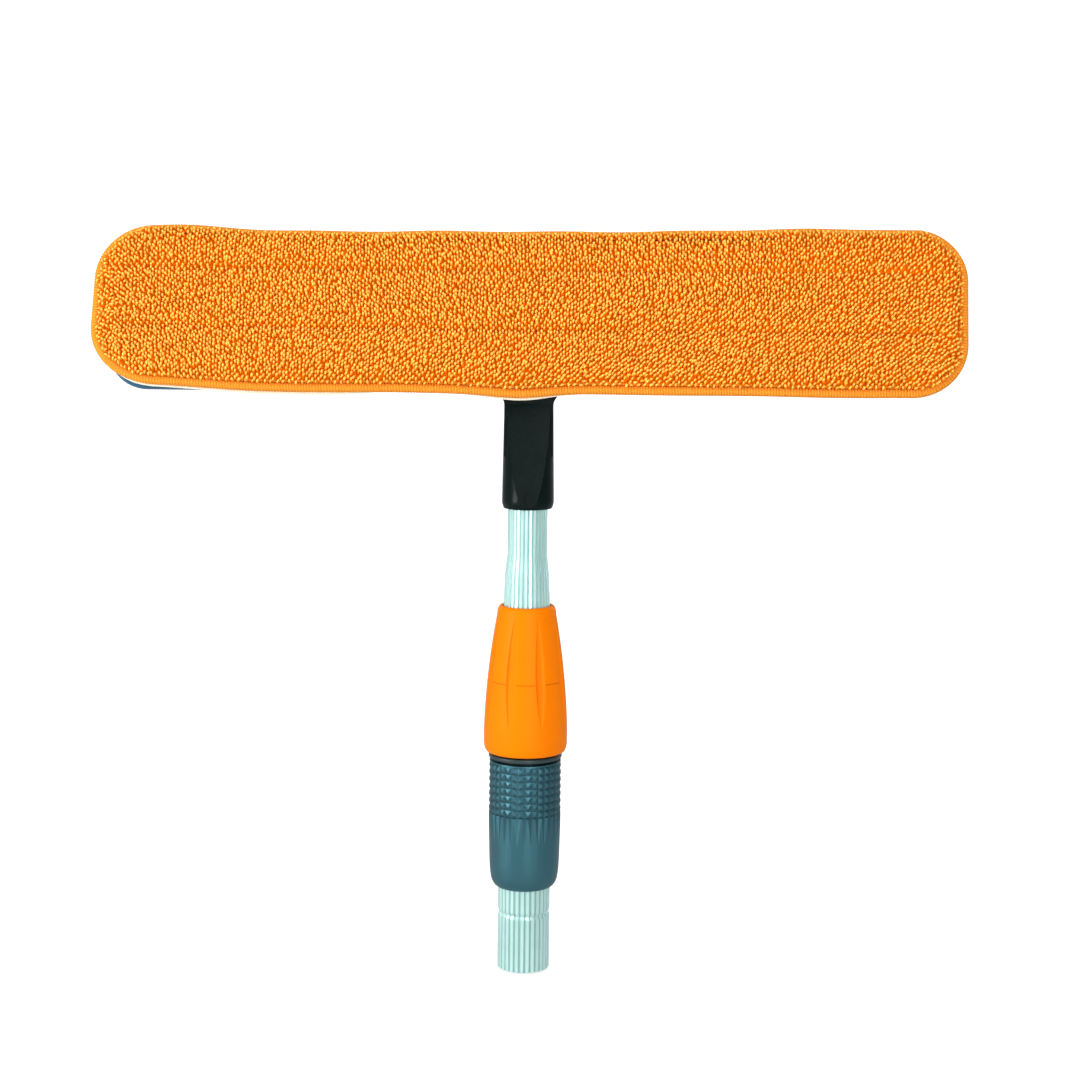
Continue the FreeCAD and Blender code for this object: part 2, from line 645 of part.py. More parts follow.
def tilt_pin_clip():
    low = bracket_out_x + FIT
    disc = cylinder_x(tilt_pin_r + PIN_HEAD_OVER, low, low + CLIP_DISC)
    return disc.cut(cylinder_x(tilt_pin_r + FIT, low - 1, low + CLIP_DISC + 1))


def tilt_washers():
    rings = []
    for side in (-1, 1):
        low = min(side * washer_in_x, side * washer_out_x)
        disc = cylinder_x(TILT_BOSS_R - TILT_WASHER_INSET, low, low + TILT_WASHER)
        rings.append(disc.cut(cylinder_x(tilt_pin_r + RUN, low - 1, low + TILT_WASHER + 1)))
    return Part.makeCompound(rings)


# ---------------------------------------------------------------- head, in its own frame
# The head's frame has its origin on the tilt pin, x along the pad, y up the face and
# z out of the face.
def screw_places():
    return [(side_x * SCREW_X, side_y * SCREW_Y) for side_x in (-1, 1) for side_y in (-1, 1)]


def swivel_bracket():
    base_low = BRACKET_REACH - BRACKET_BASE
    body = rounded_slab(BRACKET_LENGTH, BRACKET_HEIGHT, BRACKET_CORNER, base_low, BRACKET_REACH)
    body = eased(body, base_low, PLATE_ROUND)
    foot = BRACKET_HEIGHT / 2 - BRACKET_EAR_INSET
    for side in (-1, 1):
        low = min(side * bracket_ear_x, side * bracket_out_x)
        high = low + BRACKET_EAR
        cheek = cut_along_x(low, high, (-foot, base_low), (foot, base_low), (TILT_BOSS_R, 0),
                            (-TILT_BOSS_R, 0))
        body = body.fuse([cheek, cylinder_x(TILT_BOSS_R, low, high)])
        body = body.cut(cylinder_x(tilt_pin_r + FIT, low - 1, high + 1))
    for x, y in screw_places():
        body = body.cut(Part.makeCylinder(SCREW_D / 2 + FIT, BRACKET_BASE + 2, vec(x, y, base_low - 1)))
    return body.removeSplitter()


def bracket_screws():
    head_top = BRACKET_REACH - BRACKET_BASE - FIT
    screws = []
    for x, y in screw_places():
        shank = Part.makeCylinder(SCREW_D / 2, BRACKET_BASE + SCREW_BITE + FIT, vec(x, y, head_top))
        head = Part.makeCylinder(SCREW_HEAD_D / 2, SCREW_HEAD, vec(x, y, head_top - SCREW_HEAD))
        slot = block((x - SCREW_HEAD_D, x + SCREW_HEAD_D), (y - SCREW_SLOT / 2, y + SCREW_SLOT / 2),
                     (head_top - 2 * SCREW_HEAD, head_top - SCREW_HEAD / 2))
        screws.append(shank.fuse(head.cut(slot)))
    return Part.makeCompound(screws)


def strip_slab(grow, y):
    """Outline of a hook strip, grown by a gap for its recess."""
    return rounded_slab(strip_length + 2 * grow, STRIP_HEIGHT + 2 * grow, STRIP_CORNER + grow,
                        strip_low, strip_top, 0, y)


def backing_plate():
    rear = BRACKET_REACH
    skin_low = plate_front - PLATE_SKIN
    body = rounded_slab(plate_length, plate_height, PLATE_CORNER, rear, plate_front)
    body = eased(eased(body, plate_front, PLATE_ROUND), rear, PLATE_ROUND)
    inner_length = plate_length - 2 * PLATE_RIM
    inner_height = plate_height - 2 * PLATE_RIM
    hollow = rounded_slab(inner_length, inner_height, PLATE_CORNER - PLATE_RIM, rear - 1, skin_low)
    land = rounded_slab(BRACKET_LENGTH + 2 * PLATE_LAND, BRACKET_HEIGHT + 2 * PLATE_LAND, BRACKET_CORNER,
                        rear - 1, skin_low)
    hollow = hollow.cut(land)
    half = PLATE_RIB / 2
    for side in (-1, 1):
        y = side * PLATE_LONG_RIB_Y
        hollow = hollow.cut(block((-inner_length, inner_length), (y - half, y + half),
                                  (rear - 1, skin_low + 1)))
    count = int(inner_length / 2 / PLATE_RIB_PITCH)
    for k in range(-count, count + 1):
        x = k * PLATE_RIB_PITCH
        hollow = hollow.cut(block((x - half, x + half), (-inner_height, inner_height),
                                  (rear - 1, skin_low + 1)))
    body = body.cut(hollow)
    for side in (-1, 1):
        body = body.cut(strip_slab(SEAT, side * STRIP_Y))
    for x, y in screw_places():
        body = body.cut(Part.makeCylinder(SCREW_D / 2 + FIT, SCREW_BITE + 1 + SEAT, vec(x, y, rear - 1)))
    return body


def pad_outline(inset, low, high):
    return rounded_slab(PAD_LENGTH - 2 * inset, PAD_HEIGHT - 2 * inset, PAD_CORNER - inset, low, high)


def pad_pile():
    return eased(pad_outline(PILE_INSET, pile_low, pad_front), pad_front, PILE_ROUND)


def pad_binding():
    return pad_outline(0, pad_low, pile_low).cut(pad_outline(BINDING_WIDTH, pad_low - 1, pile_low + 1))


def main():
    os.makedirs("parts", exist_ok=True)
    save("outer_tube", outer_tube())
    save("end_plug", end_plug())
    save("lock_body", lock_body())
    save("stop_ring", stop_ring())
    save("grip_sleeve", grip_sleeve())
    save("lock_collet", lock_collet())
    save("collet_clip", collet_clip())
    save("thrust_washer", thrust_washer())
    save("lock_nut", lock_nut())
    save("inner_tube", inner_tube())
    save("guide_bush", guide_bush())
    save("socket", socket())
    save("socket_screw", socket_screw())
    save("knuckle", knuckle())
    save("sway_pin", sway_pin())
    save("sway_pin_clip", sway_pin_clip())
    save_head("swivel_bracket", swivel_bracket())
    save_head("bracket_screws", bracket_screws())
    save_head("tilt_pin", tilt_pin())
    save_head("tilt_pin_clip", tilt_pin_clip())
    save_head("tilt_washers", tilt_washers())
    save_head("backing_plate", backing_plate())
    save_head("hook_strip_upper", strip_slab(0, STRIP_Y))
    save_head("hook_strip_lower", strip_slab(0, -STRIP_Y))
    save_head("pad_backing", pad_outline(BINDING_WIDTH, pad_low, core_low))
    save_head("pad_core", pad_outline(BINDING_WIDTH, core_low, pile_low))
    save_head("pad_pile", pad_pile())
    save_head("pad_binding", pad_binding())


main()
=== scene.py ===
"""Looks of the window washer: looped microfibre pad, twist-lock nut, hand grip and the materials
of every moulded, drawn and woven piece. Everything is in metres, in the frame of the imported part."""
import json
import math

import bmesh
import bpy
import numpy as np
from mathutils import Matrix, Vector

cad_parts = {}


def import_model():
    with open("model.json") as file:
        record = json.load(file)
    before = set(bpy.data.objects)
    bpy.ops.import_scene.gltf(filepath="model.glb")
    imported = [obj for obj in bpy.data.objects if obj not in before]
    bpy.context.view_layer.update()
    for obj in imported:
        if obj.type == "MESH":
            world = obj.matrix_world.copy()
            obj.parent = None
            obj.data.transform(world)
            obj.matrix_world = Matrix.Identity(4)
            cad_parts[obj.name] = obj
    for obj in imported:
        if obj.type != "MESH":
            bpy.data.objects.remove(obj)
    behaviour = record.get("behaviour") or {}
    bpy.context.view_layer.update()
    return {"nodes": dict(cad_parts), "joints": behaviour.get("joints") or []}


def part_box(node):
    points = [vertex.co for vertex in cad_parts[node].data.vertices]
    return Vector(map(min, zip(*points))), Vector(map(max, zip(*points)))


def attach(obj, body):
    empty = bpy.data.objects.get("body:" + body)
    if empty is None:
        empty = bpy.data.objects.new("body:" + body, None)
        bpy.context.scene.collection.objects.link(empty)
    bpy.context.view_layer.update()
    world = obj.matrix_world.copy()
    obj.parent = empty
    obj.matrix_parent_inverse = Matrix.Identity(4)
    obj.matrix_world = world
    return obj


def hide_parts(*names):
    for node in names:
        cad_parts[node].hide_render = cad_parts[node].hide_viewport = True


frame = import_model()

MM = 0.001
rng = np.random.default_rng(7)

# ---------------------------------------------------------------- places taken from the frame
joints = {j["name"]: j for j in frame["joints"]}
tilt_pin = np.array(joints["head_tilt"]["pos_m"], float)
face_normal = np.array(joints["pad_peel"]["axis"], float)
face_normal = face_normal / np.linalg.norm(face_normal)
face_across = np.array([1.0, 0.0, 0.0])
face_up = np.cross(face_normal, face_across)


def on_head(x, y, z):
    """Row-frame points from the head's own x (along the pad), y (up its face), z (out of it)."""
    x, y, z = np.broadcast_arrays(x, y, z)
    return (tilt_pin + x[..., None] * face_across + y[..., None] * face_up
            + z[..., None] * face_normal)


def head_box(node):
    """Lowest and highest corner of a CAD node in the head's own axes."""
    mesh = frame["nodes"][node].data
    co = np.zeros(len(mesh.vertices) * 3)
    mesh.vertices.foreach_get("co", co)
    local = (co.reshape(-1, 3) - tilt_pin) @ np.array([face_across, face_up, face_normal]).T
    return local.min(0), local.max(0)


# ---------------------------------------------------------------- sizes of the looks
CORNERS = {
    "upper_left": 25 * MM, "upper_right": 22.5 * MM, "lower_left": 30 * MM, "lower_right": 25.5 * MM}
CORE_INSET = 1.5 * MM      # pad's edge beyond the padded core's
CORE_VOXEL = 4 * MM
SWELL_CAP = 1.6 * MM       # farthest that a point of the core may swell
SWELL_SIDEWAYS = 0.3       # share of the swelling kept along and up the pad
SWELL_FRAMES = 20
HEIGHT_CELL = 3 * MM
SEAM_Y = (18.5 * MM, -10.0 * MM)
SEAM_WIDTH = 1.5 * MM
SEAM_DROP = 1.7 * MM
SEAM_GAP = 0.2 * MM
LOOP_X = 2.95 * MM
LOOP_Y = 1.1 * MM
LOOP_RISE = 3.9 * MM
LOOP_SPAN = 0.84 * MM
LOOP_YARN = 0.52 * MM
BINDING_LIP = 3.9 * MM
STITCH_PITCH = 1.35 * MM
CHAIN_PITCH = 2.6 * MM
CHAIN_STEPS = 6            # rings of points in one pitch of the chain stitch
STITCH_INSET = 0.1 * MM    # chain stitch inside the binding's inner edge
THREAD_SIDES = 6
GRIP_COLUMNS = 32
GRIP_ROWS = 7
LEAVES = 8
FLUTES = 30
FLUTE_SHARE = 0.45

binding_low, binding_high = head_box("pad_binding")
pile_low = head_box("pad_pile")[0]
backing_low, backing_high = head_box("pad_backing")
pad_half_x = binding_high[0]
pad_half_y = binding_high[1]
spine_half = pad_half_x - pad_half_y


# ---------------------------------------------------------------- mesh helpers
def make_mesh(name, points, faces, smooth=True, close=True):
    """Mesh object from an array of points and an array of faces; doubles are merged when close is on."""
    mesh = bpy.data.meshes.new(name)
    mesh.from_pydata(points.reshape(-1, 3), [], faces.tolist())
    mesh.update()
    if close:
        work = bmesh.new()
        work.from_mesh(mesh)
        bmesh.ops.remove_doubles(work, verts=work.verts, dist=1e-7)
        bmesh.ops.dissolve_degenerate(work, edges=work.edges, dist=1e-7)
        bmesh.ops.recalc_face_normals(work, faces=work.faces)
        work.to_mesh(mesh)
        work.free()
    mesh.polygons.foreach_set("use_smooth", np.full(len(mesh.polygons), smooth))
    mesh.update()
    piece = bpy.data.objects.new(name, mesh)
    bpy.context.scene.collection.objects.link(piece)
    return piece


def grid_faces(rows, columns, wrap_rows, wrap_columns, split=None):
    """Quads of a rows by columns grid; wrapped sides join up. split picks each quad's diagonal."""
    i = np.arange(rows if wrap_rows else rows - 1)
    j = np.arange(columns if wrap_columns else columns - 1)
    i, j = np.meshgrid(i, j, indexing="ij")
    i2, j2 = (i + 1) % rows, (j + 1) % columns
    a, b, c, d = i * columns + j, i2 * columns + j, i2 * columns + j2, i * columns + j2
    if split is None:
        return np.stack([a, b, c, d], -1).reshape(-1, 4)
    chosen = split(i, j)[..., None, None]
    one = np.stack([np.stack([a, b, c], -1), np.stack([a, c, d], -1)], -2)
    two = np.stack([np.stack([a, b, d], -1), np.stack([b, c, d], -1)], -2)
    return np.where(chosen, one, two).reshape(-1, 3)


def surface(name, points, wrap_rows=False, wrap_columns=True, split=None, sharp=None):
    """Piece from a grid of points. sharp is the angle past which an edge stays a crease."""
    faces = grid_faces(points.shape[0], points.shape[1], wrap_rows, wrap_columns, split)
    piece = make_mesh(name, points, faces)
    if sharp is not None:
        piece.data.set_sharp_from_angle(angle=math.radians(sharp))
    return piece


def keep_marks(piece, name, marks):
    """Stores one value for each grid point as an attribute. The grid has no doubles, so that the
    mesh keeps the grid's order."""
    if len(piece.data.vertices) != marks.size:
        raise ValueError(piece.name + " lost points")
    put_attribute(piece.data, name, marks.ravel())


def smooth_step(low, high, value):
    t = np.clip((value - low) / (high - low), 0, 1)
    return t * t * (3 - 2 * t)


def bump(value, centre, width):
    return np.exp(-((value - centre) / width) ** 2)


# ---------------------------------------------------------------- the pad's outline
def pad_waves(x, y):
    """The soft pad isn't quite straight: its top edge rises at the left corner and to the right,
    dips beside that corner, and its lower edge sags where it passes the swivel. Its ends lean a
    little too: the left one out at its foot, the right one out at its top."""
    foot = 3.5 * (1 - smooth_step(-186 * MM, -122 * MM, x))
    end = np.clip(np.abs(x) / pad_half_x, 0, 1) ** 8
    lean = np.where(x < 0, -0.6 + 1.0 * y / pad_half_y, 1.4 + 1.1 * y / pad_half_y)
    top = (1.7 * bump(x, -166 * MM, 26 * MM) - 0.9 * bump(x, -96 * MM, 42 * MM)
           + 3.3 * bump(x, 150 * MM, 80 * MM) + 0.25 * np.sin(x / (9 * MM)))
    low = (-2.0 * bump(x, -4 * MM, 17 * MM) + 0.3 * bump(x, 60 * MM, 40 * MM)
           + 0.2 * np.sin(x / (13 * MM)) + foot)
    share = np.abs(y) / pad_half_y
    return x + end * lean * MM, y + np.where(y > 0, top, low) * MM * share ** 1.5


def pad_outline(count, inset=0.0):
    """Closed outline of the pad, with its own radius at each corner, at even steps of length."""
    parts = []
    spots = (("upper_right", 1, 1, 0), ("upper_left", -1, 1, 90), ("lower_left", -1, -1, 180),
             ("lower_right", 1, -1, 270))
    for corner, side_x, side_y, start in spots:
        radius = CORNERS[corner]
        angle = np.radians(start + np.linspace(0, 90, 60))
        parts.append(np.stack([
            side_x * (pad_half_x - radius) + (radius - inset) * np.cos(angle),
            side_y * (pad_half_y - radius) + (radius - inset) * np.sin(angle)], -1))
    route = np.concatenate(parts + [parts[0][:1]])
    steps = np.concatenate([[0], np.cumsum(np.linalg.norm(np.diff(route, axis=0), axis=1))])
    where = np.arange(count) / count * steps[-1]
    return np.stack([np.interp(where, steps, route[:, 0]), np.interp(where, steps, route[:, 1])], -1)


def toward_spine(outline, share):
    """Outline drawn in towards the pad's lengthwise middle line: share 1 is the edge, 0 the line."""
    spine = np.stack([np.clip(outline[:, 0], -spine_half, spine_half), 0 * outline[:, 0]], -1)
    return spine + (outline - spine) * share


def inside_pad(x, y, inset):
    """True where a point is at least inset within the pad's round-cornered outline."""
    radius = np.select(
        [(x > 0) & (y > 0), (x <= 0) & (y > 0), (x <= 0) & (y <= 0)],
        [CORNERS["upper_right"], CORNERS["upper_left"], CORNERS["lower_left"]], CORNERS["lower_right"])
    dx = np.maximum(np.abs(x) - (pad_half_x - radius), 0)
    dy = np.maximum(np.abs(y) - (pad_half_y - radius), 0)
    return radius - np.hypot(dx, dy) - inset


# ---------------------------------------------------------------- the pad
def pad_body():
    """Padded core under the loops: a slab swollen by cloth pressure, with two sewn channels."""
    outline = pad_outline(420, CORE_INSET)
    low, high = backing_high[2] + 0.1 * MM, pile_low[2] + 0.4 * MM
    rows = [(0.0, low), (0.5, low), (0.93, low), (1.0, low + 1.2 * MM), (1.0, high - 1.4 * MM),
            (0.97, high - 0.3 * MM), (0.9, high), (0.5, high), (0.0, high)]
    points = []
    for share, z in rows:
        ring = toward_spine(outline, share)
        x, y = pad_waves(ring[:, 0], ring[:, 1])
        points.append(np.stack([x, y, np.full(len(x), z)], -1))
    body = surface("pad_body", np.array(points))
    remesh = body.modifiers.new("remesh", "REMESH")
    remesh.mode = "VOXEL"
    remesh.voxel_size = CORE_VOXEL
    apply_modifiers(body)
    start = read_points(body)
    swell(body)
    points = read_points(body)
    move = (points - start) * np.array([SWELL_SIDEWAYS, SWELL_SIDEWAYS, 1.0])
    length = np.linalg.norm(move, axis=1, keepdims=True)
    points = start + move * np.minimum(1, SWELL_CAP / np.maximum(length, 1e-9))
    points[:, 2] = np.maximum(points[:, 2], low)
    write_points(body, points)
    finer = body.modifiers.new("finer", "SUBSURF")
    finer.levels = 1
    finer.render_levels = 1
    apply_modifiers(body)
    points = read_points(body)
    front = smooth_step(low + 1 * MM, high - 1 * MM, points[:, 2])
    points[:, 2] -= channel_drop(points[:, 0], points[:, 1]) * front
    write_points(body, points)
    return body, points


def read_points(piece):
    co = np.zeros(len(piece.data.vertices) * 3)
    piece.data.vertices.foreach_get("co", co)
    return co.reshape(-1, 3)


def write_points(piece, points):
    piece.data.vertices.foreach_set("co", points.reshape(-1))
    piece.data.update()


def apply_modifiers(piece):
    """Bakes the piece's modifiers into its mesh."""
    bpy.context.view_layer.update()
    ready = piece.evaluated_get(bpy.context.evaluated_depsgraph_get())
    mesh = bpy.data.meshes.new_from_object(ready)
    old = piece.data
    piece.modifiers.clear()
    piece.data = mesh
    mesh.name = piece.name
    bpy.data.meshes.remove(old)


def swell(piece):
    """A short cloth run with air pressure inside and no gravity."""
    cloth = piece.modifiers.new("cloth", "CLOTH")
    cloth.settings.use_pressure = True
    cloth.settings.uniform_pressure_force = 4
    cloth.settings.effector_weights.gravity = 0
    cloth.settings.tension_stiffness = 25
    cloth.settings.mass = 0.2
    cloth.point_cache.frame_start = 1
    cloth.point_cache.frame_end = SWELL_FRAMES
    for number in range(1, SWELL_FRAMES + 1):
        bpy.context.scene.frame_set(number)
    apply_modifiers(piece)
    bpy.context.scene.frame_set(1)


def channel_drop(x, y):
    """How far the two sewn channels pull the face in; they end short of the pad's ends."""
    run = 1 - smooth_step(pad_half_x - 14 * MM, pad_half_x - 7 * MM, np.abs(x))
    drop = bump(y, SEAM_Y[0], SEAM_WIDTH) + bump(y, SEAM_Y[1], SEAM_WIDTH)
    return SEAM_DROP * drop * run


def height_map(points):
    """Front height of the padded body on a square grid: the highest point in each cell, with empty
    cells set a little below the median, smoothed three times; returns a function of x and y that
    blends the four cells about a point."""
    cell = HEIGHT_CELL
    nx, ny = int(2 * pad_half_x / cell) + 3, int(2 * pad_half_y / cell) + 3
    i = np.clip(((points[:, 0] + pad_half_x) / cell + 1).astype(int), 0, nx - 1)
    j = np.clip(((points[:, 1] + pad_half_y) / cell + 1).astype(int), 0, ny - 1)
    top = np.full((nx, ny), -1.0)
    np.maximum.at(top, (i, j), points[:, 2])
    usual = np.median(top[top > 0])
    top = np.where(top > usual - 1.5 * MM, top, usual - 0.6 * MM)
    for _ in range(3):
        wide = np.pad(top, 1, mode="edge")
        top = (wide[:-2, 1:-1] + wide[2:, 1:-1] + wide[1:-1, :-2] + wide[1:-1, 2:] + 4 * top) / 8

    def height(x, y):
        u = np.clip((x + pad_half_x) / cell + 0.5, 0, nx - 1.001)
        v = np.clip((y + pad_half_y) / cell + 0.5, 0, ny - 1.001)
        a, b = u.astype(int), v.astype(int)
        p, q = u - a, v - b
        return ((top[a, b] * (1 - p) + top[a + 1, b] * p) * (1 - q)
                + (top[a, b + 1] * (1 - p) + top[a + 1, b + 1] * p) * q)

    return height


def loop_yarns(name, roots, out, along, rise, span, yarn):
    """Looped yarns. Each is an arch: it runs a cosine along its own direction and rises by a sine,
    and a round section of five sides follows it. The ends close to a point in the ground."""
    s = np.array([0.0, 0.14, 0.34, 0.5, 0.66, 0.86, 1.0])
    t = np.arange(5) / 5 * 2 * np.pi
    swing = -np.cos(np.pi * s)[None, :, None]
    lift = (np.sin(np.pi * s) ** 0.75)[None, :, None]
    side = np.cross(out, along)
    centre = (roots[:, None] + along[:, None] * swing * span[:, None, None]
              + out[:, None] * lift * rise[:, None, None])
    run = (along[:, None] * np.sin(np.pi * s)[None, :, None] * span[:, None, None]
           + out[:, None] * np.cos(np.pi * s)[None, :, None] * rise[:, None, None])
    run = run / np.linalg.norm(run, axis=-1, keepdims=True)
    over = np.cross(run, side[:, None])
    thick = yarn[:, None, None, None] * np.where((s > 0) & (s < 1), 1.0, 0.0)[None, :, None, None]
    ring = (centre[:, :, None] + thick * (np.cos(t)[None, None, :, None] * side[:, None, None]
            + np.sin(t)[None, None, :, None] * over[:, :, None]))
    count, rings, sides = len(roots), len(s), len(t)
    points = np.concatenate(
        [ring[:, 0, :1], ring[:, 1:-1].reshape(count, -1, 3), ring[:, -1, :1]], axis=1)
    per = points.shape[1]
    i, j = np.meshgrid(np.arange(rings - 3), np.arange(sides), indexing="ij")
    k = (j + 1) % sides
    quads = np.stack([1 + i * sides + j, 1 + i * sides + k, 1 + (i + 1) * sides + k,
                      1 + (i + 1) * sides + j], -1).reshape(-1, 4)
    j = np.arange(sides)
    k = (j + 1) % sides
    first = np.stack([0 * j, 1 + k, 1 + j], -1)
    last_ring = 1 + (rings - 3) * sides
    last = np.stack([0 * j + per - 1, last_ring + j, last_ring + k], -1)
    base = (np.arange(count) * per)[:, None, None]
    faces = (quads[None] + base).reshape(-1, 4).tolist()
    faces += (first[None] + base).reshape(-1, 3).tolist()
    faces += (last[None] + base).reshape(-1, 3).tolist()
    mesh = bpy.data.meshes.new(name)
    mesh.from_pydata(points.reshape(-1, 3), [], faces)
    mesh.polygons.foreach_set("use_smooth", np.ones(len(mesh.polygons), bool))
    # Height along each arch, from root to top, which the pile material turns into painted shade at the root
    # and a painted highlight at the top.
    painted_loop_light = np.concatenate([lift[0, :1, 0], np.repeat(lift[0, 1:-1, 0], sides), lift[0, -1:, 0]])
    put_attribute(mesh, "painted_loop_light", np.tile(painted_loop_light, count))
    put_attribute(mesh, "shade", np.repeat(rng.random(count), per))
    mesh.update()
    piece = bpy.data.objects.new(name, mesh)
    bpy.context.scene.collection.objects.link(piece)
    return piece


def put_attribute(mesh, name, values):
    layer = mesh.attributes.new(name, "FLOAT", "POINT")
    layer.data.foreach_set("value", values.astype(np.float32))


def combing(x, y):
    """Angle of the pile from straight up: upright at the left and top, combed over to the right
    towards the lower right, with slow waves between."""
    a = 0.62 * (x + pad_half_x) / (2 * pad_half_x) + 0.55 * (pad_half_y - y) / (2 * pad_half_y)
    lean = 40 * smooth_step(0.42, 0.95, a)
    slow = 7 * np.sin(x / (23 * MM) + 1.3 * np.sin(y / (11 * MM)))
    slow = slow + 5 * np.sin(y / (6 * MM) + x / (41 * MM))
    return lean + slow


def pile_strip(name, y_low, y_high, height):
    """One band of loops between two seams, on a staggered grid with a little scatter."""
    nx = int(2 * pad_half_x / LOOP_X) + 2
    ny = int((y_high - y_low - SEAM_GAP) / LOOP_Y)
    i, j = np.meshgrid(np.arange(nx), np.arange(ny), indexing="ij")
    x = (-pad_half_x + (i + 0.5 * (j % 2)) * LOOP_X).ravel()
    first = y_low + SEAM_GAP * (y_low > -pad_half_y)
    last = y_high - SEAM_GAP * (y_high < pad_half_y)
    y = (first + (j + 0.5) * (last - first) / ny).ravel()
    x = x + rng.normal(0, 0.12 * MM, x.size) + 0.4 * MM * np.sin(y / (7 * MM) + x / (33 * MM))
    y = y + rng.normal(0, 0.12 * MM, y.size)
    short_of_ends = 1 - smooth_step(0.88, 0.94, np.abs(x) / pad_half_x)
    top_run = smooth_step(0, 0.8, y / pad_half_y) * short_of_ends
    depth = inside_pad(x, y, (3.2 - 1.1 * top_run) * MM)
    keep = depth > 0
    x, y, depth = x[keep], y[keep], depth[keep]
    ground = height(x, y)
    edge = 1 - smooth_step(0, 4.5 * MM, depth)
    ends = smooth_step(pad_half_x - 34 * MM, pad_half_x - 6 * MM, -x)
    turn = np.radians(combing(x, y) + rng.normal(0, 1, x.size) * (7 + 30 * ends + 16 * edge))
    tilt_x = rng.normal(0, 0.08, x.size) + 0.3 * edge * np.clip(x / pad_half_x, -1, 1) ** 7
    tilt_y = rng.normal(0, 0.08, x.size) + 0.2 * edge * np.sign(y)
    out = np.stack([tilt_x, tilt_y, np.ones_like(x)], -1)
    out = out / np.linalg.norm(out, axis=-1, keepdims=True)
    along = np.stack([np.sin(turn), np.cos(turn), 0 * x], -1)
    along = along - out * np.sum(along * out, -1, keepdims=True)
    along = along / np.linalg.norm(along, axis=-1, keepdims=True)
    rise = LOOP_RISE * (1 + rng.normal(0, 0.07, x.size)) - 0.9 * MM * edge
    rise = rise - 0.9 * channel_drop(x, y)
    span = LOOP_SPAN * (1 + rng.normal(0, 0.12, x.size))
    yarn = LOOP_YARN * (1 + rng.normal(0, 0.08, x.size))
    wx, wy = pad_waves(x, y)
    roots = np.stack([wx, wy, ground - 0.5 * MM - 1.0 * MM * edge ** 2], -1)
    return turned_to_head(loop_yarns(name, roots, out, along, rise, span, yarn))


def turned_to_head(piece):
    """Moves a piece's mesh from the head's own axes to its place on the object."""
    co = read_points(piece)
    write_points(piece, on_head(co[:, 0], co[:, 1], co[:, 2]))
    return piece


def edge_loops():
    """Loops that stand out over the pad's upper edge, in two rows that follow the outline."""
    count = 480
    roots, out, along = [], [], []
    for inset, z_back, slope in ((1.6 * MM, 1.4 * MM, 1.1), (2.1 * MM, 0.6 * MM, 1.7)):
        line = pad_outline(count, inset)
        step = np.roll(line, -1, 0) - np.roll(line, 1, 0)
        step = step / np.linalg.norm(step, axis=1, keepdims=True)
        outward = np.stack([step[:, 1], -step[:, 0]], -1)
        upper = outward[:, 1] > 0.82
        line, step, outward = line[upper], step[upper], outward[upper]
        x, y = pad_waves(line[:, 0], line[:, 1])
        z = pile_low[2] + 0.4 * MM - z_back + 0 * x
        jitter = rng.normal(0, 0.25, (len(line), 3))
        normal = np.stack([outward[:, 0], outward[:, 1], slope + 0 * x], -1) + jitter * 0.3
        normal = normal / np.linalg.norm(normal, axis=1, keepdims=True)
        tangent = np.stack([step[:, 0], step[:, 1], 0 * x], -1) + jitter
        tangent = tangent - normal * np.sum(tangent * normal, -1, keepdims=True)
        tangent = tangent / np.linalg.norm(tangent, axis=1, keepdims=True)
        roots.append(np.stack([x, y, z], -1) - normal * 0.6 * MM)
        out.append(normal)
        along.append(tangent)
    roots, out, along = np.concatenate(roots), np.concatenate(out), np.concatenate(along)
    number = len(roots)
    rise = 1.15 * MM * (1 + rng.normal(0, 0.08, number))
    return turned_to_head(loop_yarns("pad_edge_loops", roots, out, along, rise,
                                     np.full(number, 0.7 * MM), np.full(number, 0.5 * MM)))


def edge_frame(count, inset):
    """Waved outline at an inset, with its outward direction: the tangent turned a quarter."""
    line = pad_outline(count, inset)
    line = np.stack(pad_waves(line[:, 0], line[:, 1]), -1)
    step = np.roll(line, -1, 0) - np.roll(line, 1, 0)
    step = step / np.linalg.norm(step, axis=1, keepdims=True)
    return line, np.stack([step[:, 1], -step[:, 0]], -1)


def edge_length():
    line = pad_outline(2000)
    return np.sum(np.linalg.norm(np.roll(line, -1, 0) - line, axis=1))


def pad_binding():
    """Overlocked edge: a flattened oval section carried round the outline, ribbed by its threads.
    A rib is the absolute sine of the length along the edge, slanted a little across the band."""
    turns = int(edge_length() / STITCH_PITCH)
    per_rib = 4
    count = turns * per_rib
    line, outward = edge_frame(count, BINDING_LIP / 2)
    around = np.linspace(0, 2 * np.pi, 18, endpoint=False)
    half_z = (binding_high[2] - binding_low[2]) / 2 - 0.3 * MM
    centre_z = (binding_high[2] + binding_low[2]) / 2 + 0.35 * MM
    place = np.arange(count)[:, None] / per_rib
    rib = np.abs(np.sin(np.pi * (place + 0.35 * np.sin(around)[None])))
    swell_by = 0.28 * MM * rib
    wide = BINDING_LIP / 2 + swell_by
    tall = half_z + swell_by
    u = np.sign(np.cos(around)) * np.abs(np.cos(around)) ** 0.8
    v = np.sign(np.sin(around)) * np.abs(np.sin(around)) ** 0.8
    flat = line[:, None] + outward[:, None] * (wide * u[None])[..., None]
    points = on_head(flat[..., 0], flat[..., 1], centre_z + tall * v[None])
    binding = surface("overlocked_binding", points, wrap_rows=True)
    # Painted shade: the dips between the ribs are marked for the material to darken.
    keep_marks(binding, "crease", (1 - rib) * np.ones_like(wide))
    return binding


